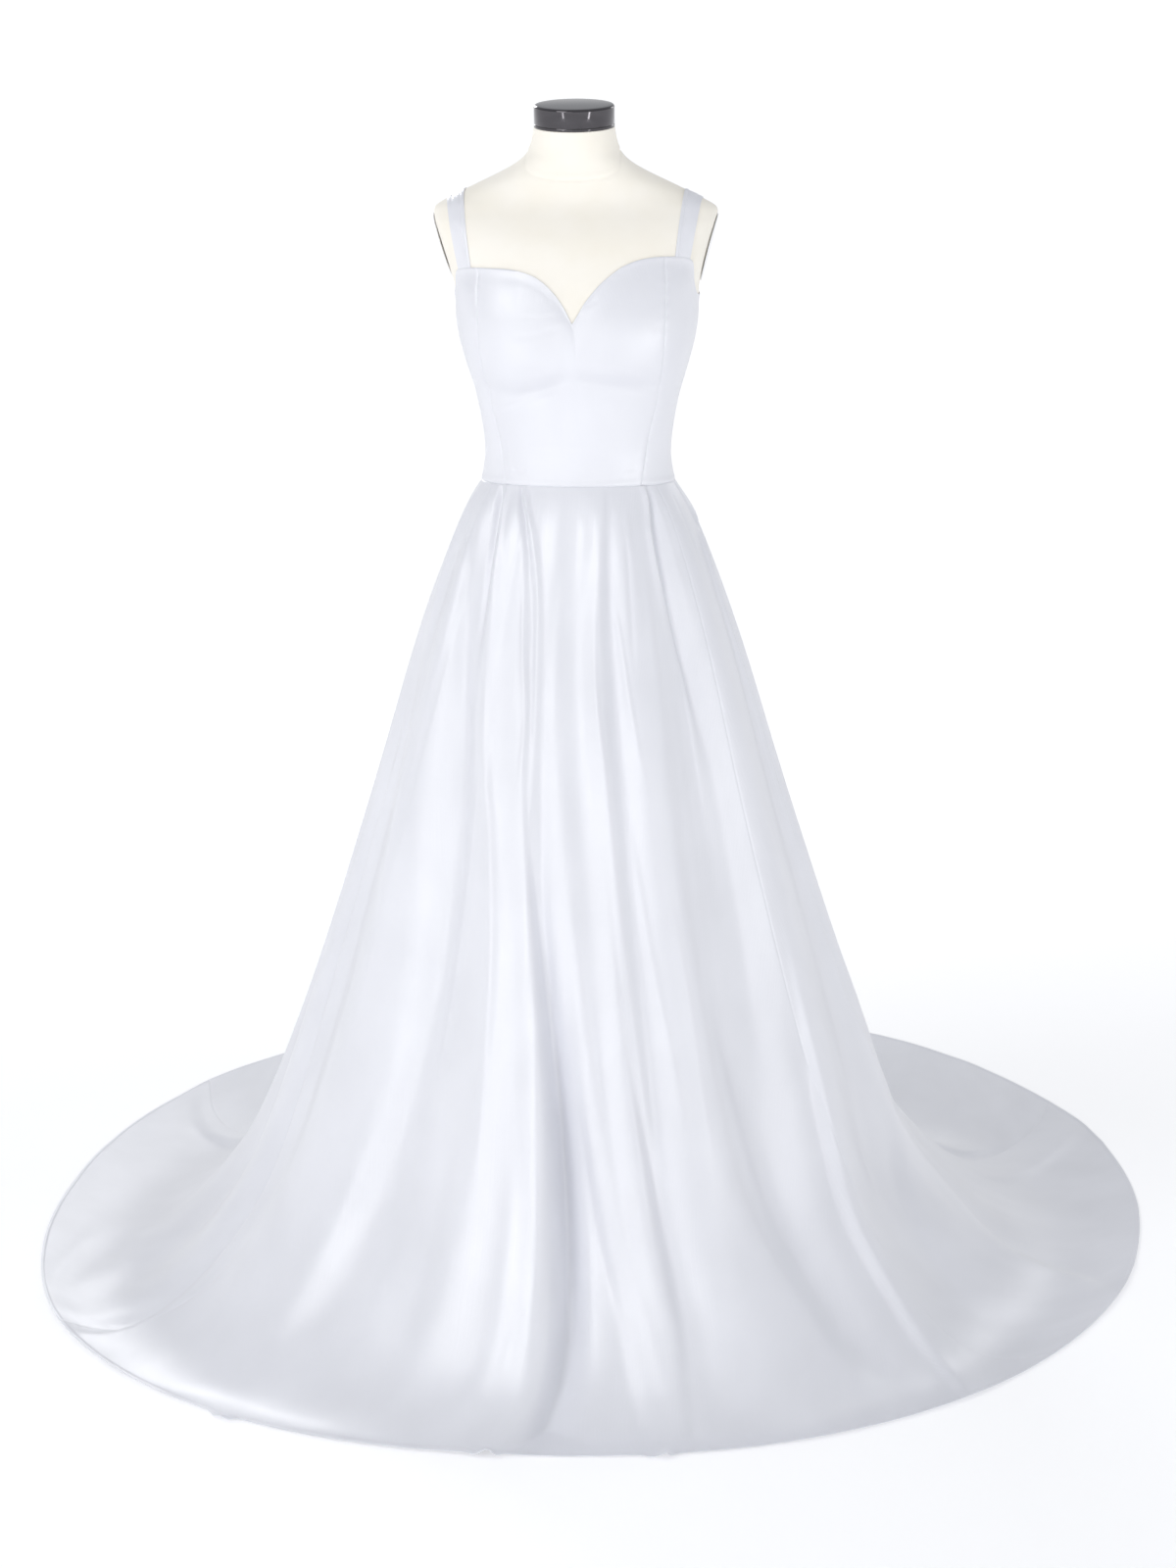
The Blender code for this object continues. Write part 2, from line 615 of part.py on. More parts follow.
def build_bodice():
    spread = (np.arange(FRONT_HALF_COLUMNS + 1) / FRONT_HALF_COLUMNS) ** FRONT_CROWDING
    low = -seam_angle("princess", seam_top("princess", -1))
    high = seam_angle("princess", seam_top("princess", 1))
    notch = (front_angle(NOTCH_X, NOTCH_HEIGHT) - low) / (high - low)
    front_shares = np.concatenate([notch * (1 - spread[::-1]), notch + (1 - notch) * spread[1:]])
    bodice_wall("bodice_front", ("princess", -1), ("princess", 1), front_shares, front_edge)
    for side, way in (("left", 1), ("right", -1)):
        for piece, front_seam, back_seam, columns in BODICE_PANELS:
            shares = np.linspace(0.0, 1.0, columns + 1)
            seams = [(front_seam, way), (back_seam, way)]
            bodice_wall(f"{piece}_{side}", *seams[::way], shares, edge_height)


def form_y(x, height, back):
    """Where a lengthwise line at x meets the form's front or back at a height."""
    power = TORSO_CURVES["front_square"](height)
    share = np.clip(x / TORSO_CURVES["half_width"](height), 0.0, 1.0)
    bulge = (1 - share**power) ** (1 / power)
    side = TORSO_CURVES["side"](height)
    edge = TORSO_CURVES["back"](height) if back else TORSO_CURVES["front"](height)
    return side + (edge - side) * bulge


def strap_line(share, way):
    """Evenly spaced points over the shoulder, from the inner (0) to the outer (1) edge of a strap."""
    ridge_x = STRAP_RIDGE_X[0] + share * (STRAP_RIDGE_X[1] - STRAP_RIDGE_X[0])
    levels = np.linspace(*SHOULDER_HEIGHTS, 3 * STRAP_STEPS)
    widths = TORSO_CURVES["half_width"](levels)
    ridge = float(levels[np.argmin(np.abs(widths - ridge_x))])
    halves = []
    for (inner_angle, outer_angle), back in ((STRAP_FRONT_ANGLES, False), (STRAP_BACK_ANGLES, True)):
        angle = inner_angle + share * (outer_angle - inner_angle)
        foot = float(edge_height(way * angle)) + 2 * SEAM_GAP
        foot_x = float(ring_point(TORSO_CURVES, np.array(foot), np.array(angle))[0])
        rise = 1 - (1 - np.linspace(0.0, 1.0, STRAP_STEPS)) ** 2
        heights = foot + (ridge - foot) * rise
        x = foot_x + (ridge_x - foot_x) * (heights - foot) / (ridge - foot)
        line = np.stack([x, form_y(x, heights, back), heights], axis=-1)
        halves.append(line[::-1] if back else line)
    line = np.concatenate([halves[0], halves[1][1:]])
    lengths = np.concatenate([[0.0], np.cumsum(np.linalg.norm(np.diff(line, axis=0), axis=1))])
    at = np.linspace(0.0, lengths[-1], STRAP_STATIONS)
    even = np.stack([np.interp(at, lengths, line[:, k]) for k in range(3)], axis=-1)
    even[:, 0] = even[:, 0] * way + lean(even[:, 2])
    return even


def build_straps():
    for side, way in (("left", 1), ("right", -1)):
        shares = np.linspace(0.0, 1.0, STRAP_LINES)
        grid = np.stack([strap_line(share, way) for share in shares], axis=1)
        along = np.gradient(grid, axis=0)
        across = np.gradient(grid, axis=1)
        normals = np.cross(across, along) * way
        normals /= np.linalg.norm(normals, axis=-1, keepdims=True)
        for end in (0, -1):
            normals[end] = level(normals[end])
        under = grid + STRAP_CLEAR * normals
        wall_object(f"strap_{side}", under + WALL * normals, under)


def build_torso():
    """Closed form from the hip cut to the neck plate."""
    columns = TORSO_COLUMNS
    angles = np.arange(columns) * 360 / columns
    mesh_data = bmesh.new()
    rings = []
    for height in TORSO_HEIGHTS:
        points = torso_point(np.full(columns, height), angles)
        rings.append([mesh_data.verts.new(point) for point in points])
    for low, high in zip(rings, rings[1:]):
        for k in range(columns):
            nxt = (k + 1) % columns
            mesh_data.faces.new((low[k], low[nxt], high[nxt]))
            mesh_data.faces.new((low[k], high[nxt], high[k]))
    mesh_data.faces.new(rings[0])
    mesh_data.faces.new(rings[-1])
    return object_from_bmesh("form_torso", mesh_data, "cover")


def turned(name, profile, kind, steps=40):
    """Solid of revolution about Z from points (radius, height), from the top of the axis down."""
    points = [(radius, 0.0, height) for radius, height in profile]
    edges = [(k, k + 1) for k in range(len(profile) - 1)]
    mesh = bpy.data.meshes.new(name)
    mesh.from_pydata(points, edges, [])
    obj = bpy.data.objects.new(name, mesh)
    bpy.context.scene.collection.objects.link(obj)
    screw = obj.modifiers.new("turn", "SCREW")
    screw.axis = "Z"
    screw.steps = steps
    screw.render_steps = steps
    screw.use_merge_vertices = True
    screw.merge_threshold = 0.00001
    return finish_object(obj, kind)


def arc(centre, radius, start, end, count):
    """Points of a rounded edge in a turned profile, angles in degrees from +X."""
    turns = np.radians(np.linspace(start, end, count))
    return [(centre[0] + radius * math.cos(t), centre[1] + radius * math.sin(t)) for t in turns]


def build_neck_cap():
    profile = [(CAP_RADIUS * share, CAP_HEIGHT + CAP_DOME * (1 - share**2)) for share in (0.0, 0.6)]
    profile += arc((CAP_RADIUS - CAP_EDGE, CAP_HEIGHT - CAP_EDGE), CAP_EDGE, 90, 0, 5)
    profile += [(CAP_RADIUS, 0.0), (0.0, 0.0)]
    cap = turned("form_neck_cap", profile, "steel")
    seat = NECK_TOP + math.tan(NECK_TILT) * CAP_Y + SEAM_GAP / math.cos(NECK_TILT)
    cap.location = (LEAN, CAP_Y, seat)
    cap.rotation_euler = (NECK_TILT, 0.0, 0.0)


def build_stand():
    edge = BASE_EDGE
    fillet_centre = (HUB_RADIUS + HUB_FILLET, BASE_THICK + HUB_FILLET)
    profile = [(0.0, HUB_HEIGHT)]
    profile += arc((HUB_RADIUS - edge, HUB_HEIGHT - edge), edge, 90, 0, 3)
    profile += arc(fillet_centre, HUB_FILLET, 180, 180 + FILLET_TURN, 3)
    profile += arc((BASE_RADIUS - edge, BASE_THICK - edge), edge, 90, 0, 3)
    profile += [(BASE_RADIUS, 0.0), (0.0, 0.0)]
    turned("form_base", profile, "enamel")
    low = HUB_HEIGHT + SEAM_GAP
    high = FORM_BOTTOM - SEAM_GAP
    bpy.ops.mesh.primitive_cylinder_add(
        vertices=24, radius=POLE_RADIUS, depth=high - low, location=(0.0, 0.0, (low + high) / 2)
    )
    pole = bpy.context.active_object
    pole.name = "form_pole"
    finish_object(pole, "steel")


def build_armplates():
    """Flat ovals on the form's arm cuts."""
    heights = np.array([-1.0, 1.0]) * ARMPLATE_HALF_HEIGHT + ARMPLATE_CENTRE_HEIGHT
    for side, way in (("left", 1), ("right", -1)):
        low_out, high_out = arm_plane(heights) + way * lean(heights)
        slope = math.atan2(high_out - low_out, heights[1] - heights[0])
        bpy.ops.mesh.primitive_cylinder_add(vertices=32, radius=1.0, depth=ARMPLATE_THICK)
        plate = bpy.context.active_object
        plate.name = f"form_armplate_{side}"
        plate.data.transform(Matrix.Diagonal((ARMPLATE_HALF_HEIGHT, ARMPLATE_HALF_DEPTH, 1.0, 1.0)))
        bevel = plate.modifiers.new("rounded edge", "BEVEL")
        bevel.width = ARMPLATE_EDGE
        bevel.segments = 1
        bevel.limit_method = "ANGLE"
        normal = Vector((math.cos(slope) * way, 0.0, -math.sin(slope)))
        out = way * (low_out + high_out) / 2
        on_plane = Vector((out, ARMPLATE_CENTRE_Y, ARMPLATE_CENTRE_HEIGHT))
        plate.location = on_plane + normal * (ARMPLATE_CLEAR + ARMPLATE_THICK / 2)
        plate.rotation_euler = (0.0, way * (math.pi / 2 + slope), 0.0)
        finish_object(plate, "steel")


def box_object(name, low, high):
    """Box between two corners."""
    size = [b - a for a, b in zip(low, high)]
    middle = [(a + b) / 2 for a, b in zip(low, high)]
    bpy.ops.mesh.primitive_cube_add(size=1.0, location=middle)
    obj = bpy.context.active_object
    obj.name = name
    obj.data.transform(Matrix.Diagonal((*size, 1.0)))
    return obj


def join_to(target, pieces):
    """Unite helper pieces with a target by Booleans and keep them out of the dress."""
    for piece in pieces:
        union = target.modifiers.new(piece.name, "BOOLEAN")
        union.operation = "UNION"
        union.object = piece
        piece.hide_render = True
        piece.display_type = "WIRE"
        for collection in list(piece.users_collection):
            collection.objects.unlink(piece)
        CUTTERS.objects.link(piece)


def build_zip():
    """Slider at the top of the centre back seam, and the tab that hangs in its ears."""
    width, deep, tall = SLIDER_SIZE
    back_y = float(bodice_point(np.array(ZIP_HEIGHT + tall / 2), np.array(180.0))[1]) + SEAM_GAP
    face = back_y + deep
    slider = box_object(
        "zip_slider",
        (-width / 2, back_y, ZIP_HEIGHT - tall / 2),
        (width / 2, face, ZIP_HEIGHT + tall / 2),
    )
    ears = []
    for side, way in (("left", 1), ("right", -1)):
        inside, outside = EAR_INSIDE * way, (EAR_INSIDE + EAR_THICK) * way
        ears.append(box_object(
            f"slider_ear_{side}",
            (min(inside, outside), face - UNION_OVERLAP, ZIP_HEIGHT - EAR_HEIGHT / 2),
            (max(inside, outside), face + EAR_REACH, ZIP_HEIGHT + EAR_HEIGHT / 2),
        ))
    join_to(slider, ears)
    finish_object(slider, "zip")

    axis_y = face + BARREL_STAND_OFF
    bpy.ops.mesh.primitive_cylinder_add(
        vertices=16, radius=BARREL_RADIUS, depth=BARREL_LENGTH, rotation=(0.0, math.pi / 2, 0.0)
    )
    pull = bpy.context.active_object
    pull.name = "zip_pull"
    pull.location = (0.0, axis_y, ZIP_HEIGHT)
    neck = box_object(
        "pull_neck",
        (-BARREL_LENGTH / 2, axis_y - TAB_THICK / 2, ZIP_HEIGHT - TAB_NECK - UNION_OVERLAP),
        (BARREL_LENGTH / 2, axis_y + TAB_THICK / 2, ZIP_HEIGHT),
    )
    tab = box_object(
        "pull_tab",
        (-TAB_WIDTH / 2, axis_y - TAB_THICK / 2, ZIP_HEIGHT - TAB_LENGTH),
        (TAB_WIDTH / 2, axis_y + TAB_THICK / 2, ZIP_HEIGHT - TAB_NECK),
    )
    rounding = tab.modifiers.new("rounded corners", "BEVEL")
    rounding.width = TAB_ROUNDING
    rounding.segments = 2
    join_to(pull, [neck, tab])
    finish_object(pull, "zip")


def clear_scene():
    for obj in list(bpy.data.objects):
        bpy.data.objects.remove(obj, do_unlink=True)


def make_collection(name):
    collection = bpy.data.collections.new(name)
    bpy.context.scene.collection.children.link(collection)
    return collection


clear_scene()
DRESS = make_collection("wedding_dress_on_form")
CUTTERS = make_collection("helper_shapes")
build_skirt()
build_bodice()
build_straps()
build_torso()
build_neck_cap()
build_stand()
build_armplates()
build_zip()
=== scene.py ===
"""Looks of a white satin wedding dress with a round train, worn by a limbless dress form.

Metres, +Z up. The front of the dress faces -Y, the train runs to +Y, and +X is the wearer's left.
Angles round the body are in degrees from the front, positive towards +X, so the centre back is 180.
"""

import math

import bmesh
import bpy
import numpy as np
from mathutils import Euler, Matrix, Vector


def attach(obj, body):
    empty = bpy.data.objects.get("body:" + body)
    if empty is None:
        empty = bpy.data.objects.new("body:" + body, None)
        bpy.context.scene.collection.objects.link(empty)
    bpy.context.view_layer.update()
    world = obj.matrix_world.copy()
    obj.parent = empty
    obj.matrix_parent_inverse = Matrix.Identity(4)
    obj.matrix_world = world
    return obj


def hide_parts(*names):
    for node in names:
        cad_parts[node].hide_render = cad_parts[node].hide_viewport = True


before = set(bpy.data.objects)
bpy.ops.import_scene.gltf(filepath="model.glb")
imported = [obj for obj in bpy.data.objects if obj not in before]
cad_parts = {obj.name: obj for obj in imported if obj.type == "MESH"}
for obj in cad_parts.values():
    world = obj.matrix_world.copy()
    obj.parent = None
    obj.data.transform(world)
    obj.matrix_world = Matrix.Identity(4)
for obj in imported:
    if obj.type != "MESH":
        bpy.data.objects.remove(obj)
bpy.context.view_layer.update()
DRESS_BODY = "dress_on_form"

# Camera: as far away and as high as the picture's perspective says, looking a little down
CAMERA_DISTANCE = 4.5
CAMERA_HEIGHT = 1.65
CAMERA_TURN = math.radians(5.0)
CAMERA_DOWN = math.radians(12.0)
SENSOR = 36.0
LENS = 80.1
FORM_LEFT_OF_MIDDLE = 10 / 1600

# Cloth: satin with its lining, and how a seam sinks into it
CLOTH = 0.0012
STRAP_CLOTH = 0.0010
SEAM_HALF_GAP = 0.000012
SEAM_STEPS = np.array([SEAM_HALF_GAP, 0.0008, 0.0018, 0.0035, 0.0070])
SEAM_DEPTH = 0.0009
SKIRT_SEAM_DEPTH = 0.0004
SEAM_SPREAD = 0.0014
PUCKER_DEPTH = 0.00022
PUCKER_LENGTH = 0.017
PUCKER_REACH = 0.009
EDGE_CLEAR = 0.0003
EDGE_HUG = 0.022
EDGE_SHARE_HUGGED = 1.0
HEM_STEPS = np.array([0.0140, 0.0100, 0.0075, 0.0062, 0.0050, 0.0030, 0.0012, 0.0])
HEM_WIDTH = 0.0068
HEM_THICK = 0.0007

# Heights above the floor
WAIST = 1.098
NECK_TOP = 1.546
ARMHOLE_BOTTOM = 1.335

# Neckline, whose notch hangs a little to the wearer's left with one cup drawn rounder
NOTCH_HEIGHT = 1.305
NOTCH_X = 0.0035
CORNER_HEIGHT_LEFT = 1.388
CORNER_HEIGHT_RIGHT = 1.373
NECKLINE_HALF = 0.125
NECKLINE_ROUNDNESS_LEFT = 2.75
NECKLINE_ROUNDNESS_RIGHT = 4.1

# Straps
STRAP_RIDGE_X = (0.1405, 0.1625)
SHOULDER_HEIGHTS = (1.445, 1.490)
STRAP_FRONT_ANGLES = (47.0, 59.5)
STRAP_BACK_ANGLES = (144.5, 130.5)
STRAP_TUCK = 0.007
STRAP_CLEAR = 0.0002
STRAP_LINES = 25
STRAP_STATIONS = 150
STRAP_STEPS = 200

# Dress form, whose top leans a little to the wearer's right
LEAN = -0.005
LEAN_FROM = 1.26
LEAN_FULLY = 1.50
NECK_TILT = math.radians(7.5)
NECK_TILT_FROM = 1.500
NECK_SEAM_HEIGHT = 1.517
NECK_SEAM_DIP = 0.037
CAP_RADIUS = 0.0515
CAP_HEIGHT = 0.0275
CAP_EDGE = 0.0035
CAP_DOME = 0.0012
CAP_Y = 0.001
SEAM_GAP = 0.0003
ARMPLATE_THICK = 0.0010
ARMPLATE_EDGE = 0.0004
ARMPLATE_CLEAR = 0.0002
ARMPLATE_HALF_HEIGHT = 0.044
ARMPLATE_HALF_DEPTH = 0.031
ARMPLATE_CENTRE_HEIGHT = 1.395
ARMPLATE_CENTRE_Y = 0.010
# Heights between which the arm cut runs out, and how far out it lies below them
ARM_CUT_EASE = (1.318, 1.350, 0.02)
ARM_PLANE_LOW = (1.330, 0.151)
ARM_PLANE_HIGH = (1.450, 0.1855)

SECTION_COLUMNS = ("height", "half_width", "front", "back", "side", "front_square", "back_square")

# Rings of the form, from the cut under the hips to the neck plate
TORSO = (
    (0.860, 0.1600, -0.1050, 0.1200, 0.005, 2.2, 2.2),
    (0.930, 0.1720, -0.1120, 0.1280, 0.005, 2.2, 2.2),
    (1.000, 0.1580, -0.1050, 0.1120, 0.004, 2.2, 2.2),
    (1.060, 0.1350, -0.0940, 0.0940, 0.002, 2.2, 2.2),
    (1.120, 0.1155, -0.0830, 0.0830, 0.000, 2.2, 2.2),
    (1.160, 0.1185, -0.0860, 0.0880, 0.000, 2.2, 2.2),
    (1.210, 0.1270, -0.0970, 0.0960, 0.000, 2.3, 2.3),
    (1.250, 0.1385, -0.1130, 0.1020, 0.000, 2.4, 2.4),
    (1.290, 0.1480, -0.1220, 0.1060, 0.000, 2.5, 2.5),
    (1.330, 0.1540, -0.1140, 0.1100, 0.002, 2.5, 2.5),
    (1.370, 0.1635, -0.1000, 0.1080, 0.006, 2.5, 2.5),
    (1.405, 0.1760, -0.0850, 0.1000, 0.010, 2.4, 2.4),
    (1.430, 0.1840, -0.0680, 0.0880, 0.012, 2.3, 2.3),
    (1.445, 0.1830, -0.0560, 0.0760, 0.014, 2.2, 2.2),
    (1.456, 0.1635, -0.0500, 0.0700, 0.014, 2.2, 2.2),
    (1.468, 0.1400, -0.0470, 0.0660, 0.013, 2.2, 2.2),
    (1.480, 0.1150, -0.0455, 0.0620, 0.011, 2.2, 2.2),
    (1.492, 0.0900, -0.0450, 0.0570, 0.008, 2.1, 2.1),
    (1.503, 0.0715, -0.0460, 0.0530, 0.005, 2.1, 2.1),
    (1.515, 0.0595, -0.0470, 0.0505, 0.003, 2.0, 2.0),
    (1.530, 0.0545, -0.0485, 0.0500, 0.001, 2.0, 2.0),
    (1.546, 0.0515, -0.0505, 0.0525, 0.000, 2.0, 2.0),
)

# Rings of the bodice's outer face: the satin is stretched flat between the bust points
BODICE = (
    (1.098, 0.1250, -0.0900, 0.0900, 0.000, 2.2, 2.2),
    (1.135, 0.1196, -0.0905, 0.0880, 0.000, 2.2, 2.2),
    (1.160, 0.1218, -0.0935, 0.0915, 0.000, 2.3, 2.2),
    (1.210, 0.1307, -0.1045, 0.0998, 0.000, 2.5, 2.3),
    (1.235, 0.1380, -0.1185, 0.1038, 0.000, 2.6, 2.4),
    (1.256, 0.1441, -0.1262, 0.1066, 0.000, 2.7, 2.4),
    (1.285, 0.1512, -0.1262, 0.1095, 0.000, 2.9, 2.5),
    (1.310, 0.1553, -0.1235, 0.1120, 0.001, 2.8, 2.5),
    (1.335, 0.1592, -0.1165, 0.1134, 0.002, 2.7, 2.5),
    (1.370, 0.1672, -0.1040, 0.1118, 0.006, 2.6, 2.5),
    (1.405, 0.1797, -0.0888, 0.1038, 0.010, 2.5, 2.4),
)

# Rings of the skirt's outer face, from the waist seam down to the floor and out to the hem
SKIRT = (
    (1.098, 0.1250, -0.0900, 0.0900, 0.000, 2.20, 2.2),
    (1.080, 0.1370, -0.1010, 0.1000, 0.000, 2.20, 2.1),
    (1.055, 0.1500, -0.1150, 0.1140, 0.000, 2.20, 2.1),
    (1.019, 0.1650, -0.1300, 0.1330, 0.000, 2.20, 2.1),
    (0.960, 0.1870, -0.1510, 0.1620, 0.002, 2.15, 2.0),
    (0.860, 0.2200, -0.1840, 0.2100, 0.008, 2.10, 2.0),
    (0.740, 0.2530, -0.2220, 0.2700, 0.018, 2.10, 2.0),
    (0.610, 0.2920, -0.2620, 0.3380, 0.032, 2.10, 2.0),
    (0.480, 0.3320, -0.3040, 0.4100, 0.050, 2.10, 2.0),
    (0.360, 0.3730, -0.3440, 0.4840, 0.070, 2.10, 2.0),
    (0.260, 0.4100, -0.3800, 0.5520, 0.092, 2.10, 2.0),
    (0.180, 0.4480, -0.4140, 0.6120, 0.112, 2.15, 2.0),
    (0.115, 0.5000, -0.4480, 0.6740, 0.135, 2.20, 2.0),
    (0.065, 0.5480, -0.4840, 0.7380, 0.162, 2.20, 2.0),
    (0.030, 0.6000, -0.5200, 0.8060, 0.200, 2.25, 2.0),
    (0.010, 0.6500, -0.5520, 0.8800, 0.245, 2.30, 2.0),
    (0.003, 0.7000, -0.5720, 0.9800, 0.290, 2.30, 2.0),
    (0.002, 0.7450, -0.5880, 1.1500, 0.335, 2.22, 2.0),
    (0.002, 0.7800, -0.6020, 1.3800, 0.380, 2.18, 2.0),
)
HEM_STATION = len(SKIRT) - 1
# Stations between which the cloth turns from hanging to lying on the floor
SKIRT_LIES_FROM = 12.0
SKIRT_LIES_FULLY = 16.0
# Of a fold's depth, how much is lost sideways and how much rises where the cloth lies
LYING_LOSS = 0.4
LYING_RISE = 0.5
# How far the front of the hem lies towards the wearer's right
HEM_SWAY = -0.024

# Folds of the skirt: the angle and the outward depth in mm at five places below the waist seam,
# and how far the fold spreads to its lower-angle and higher-angle side, in degrees
FOLD_STATIONS = (0.0, 4.0, 8.0, 11.0, 14.0, 18.0)
FOLD_PLACES = ("hip", "knee", "shin", "floor", "hem")
FOLD_COLUMNS = (
    "name",
    "angle_hip", "angle_knee", "angle_shin", "angle_floor", "angle_hem",
    "depth_hip", "depth_knee", "depth_shin", "depth_floor", "depth_hem",
    "spread_low", "spread_high",
)
FOLDS = (
    ("left outer ridge", -93, -87, -87, -77, -57, 2, 9, 14, 11, 6, 7, 6),
    ("left outer trough", -82, -79, -77, -70, -55, -2, -9, -12, -5, 0, 5, 5),
    ("left second ridge", -74, -73, -68, -64, -52, 3, 12, 17, 10, 5, 6, 6),
    ("left fine trough", -62, -60, -59, -54, -46, -3, -7, -9, -3, 0, 5, 5),
    ("left broad ridge", -50, -48, -50, -46, -40, 6, 11, 13, 9, 5, 8, 8),
    ("left broad trough", -41, -28, -30, -29, -24, -9, -18, -23, -10, 0, 7, 8),
    ("centre left ridge", -29, -14, -13, -13, -13, 4, 6, 7, 5, 3, 5, 5),
    ("lapped crease ridge", -15, -4, -1.5, -1.5, -1.5, 3, 9, 25, 19, 6, 7, 2.4),
    ("lapped crease trough", -12, -0.5, 2.5, 2.5, 3, 0, -6, -26, -16, 0, 2.0, 5.0),
    ("centre ridge", -5, 4, 7, 8, 8, 3, 4, 2, 2, 3, 4.5, 3.5),
    ("low centre trough", 2, 7, 10.5, 12.5, 13, -1, -4, -11, -7, 0, 3, 3),
    ("centre right ridge", 10, 14, 15, 16, 16, 4, 6, 10, 6, 3, 4, 2.6),
    ("right fine trough", 15, 18, 18.5, 18, 16, -3, -5, -9, -5, 0, 2.4, 2.6),
    ("right wide ridge", 22, 25, 27, 27, 26, 6, 11, 13, 8, 4, 5, 8),
    ("right broad trough", 42, 43, 41, 39, 36, -8, -16, -18, -8, 0, 8, 7),
    ("right ridge", 60, 61, 53, 49, 42, 5, 12, 15, 10, 5, 8, 7),
    ("right trough", 80, 78, 67, 62, 54, -3, -10, -13, -6, 0, 6, 6),
    ("right outer ridge", 96, 92, 80, 79, 72, 2, 8, 11, 8, 4, 7, 7),
    ("right back trough", 108, 108, 104, 100, 96, -4, -11, -12, -4, 0, 6, 6),
    ("right back ridge", 120, 122, 120, 116, 112, 5, 13, 15, 7, 3, 7, 7),
    ("right back fine trough", 132, 134, 133, 130, 126, -4, -11, -11, -3, 0, 5, 5),
    ("right back inner ridge", 144, 147, 147, 146, 144, 5, 12, 13, 6, 3, 6, 6),
    ("centre back right trough", 158, 160, 161, 161, 160, -5, -13, -12, -3, 0, 6, 6),
    ("centre back ridge", 173, 175, 176, 177, 178, 5, 12, 12, 5, 2, 6, 6),
    ("centre back left trough", 188, 189, 190, 190, 190, -5, -12, -11, -3, 0, 6, 5),
    ("left back inner ridge", -157, -156, -155, -155, -156, 5, 12, 13, 6, 3, 6, 6),
    ("left back trough", -143, -141, -140, -140, -142, -5, -12, -12, -4, 0, 6, 6),
    ("left back ridge", -129, -126, -124, -122, -122, 5, 13, 14, 7, 3, 7, 6),
    ("left back fine trough", -113, -110, -108, -105, -100, -4, -10, -10, -4, 0, 6, 6),
)

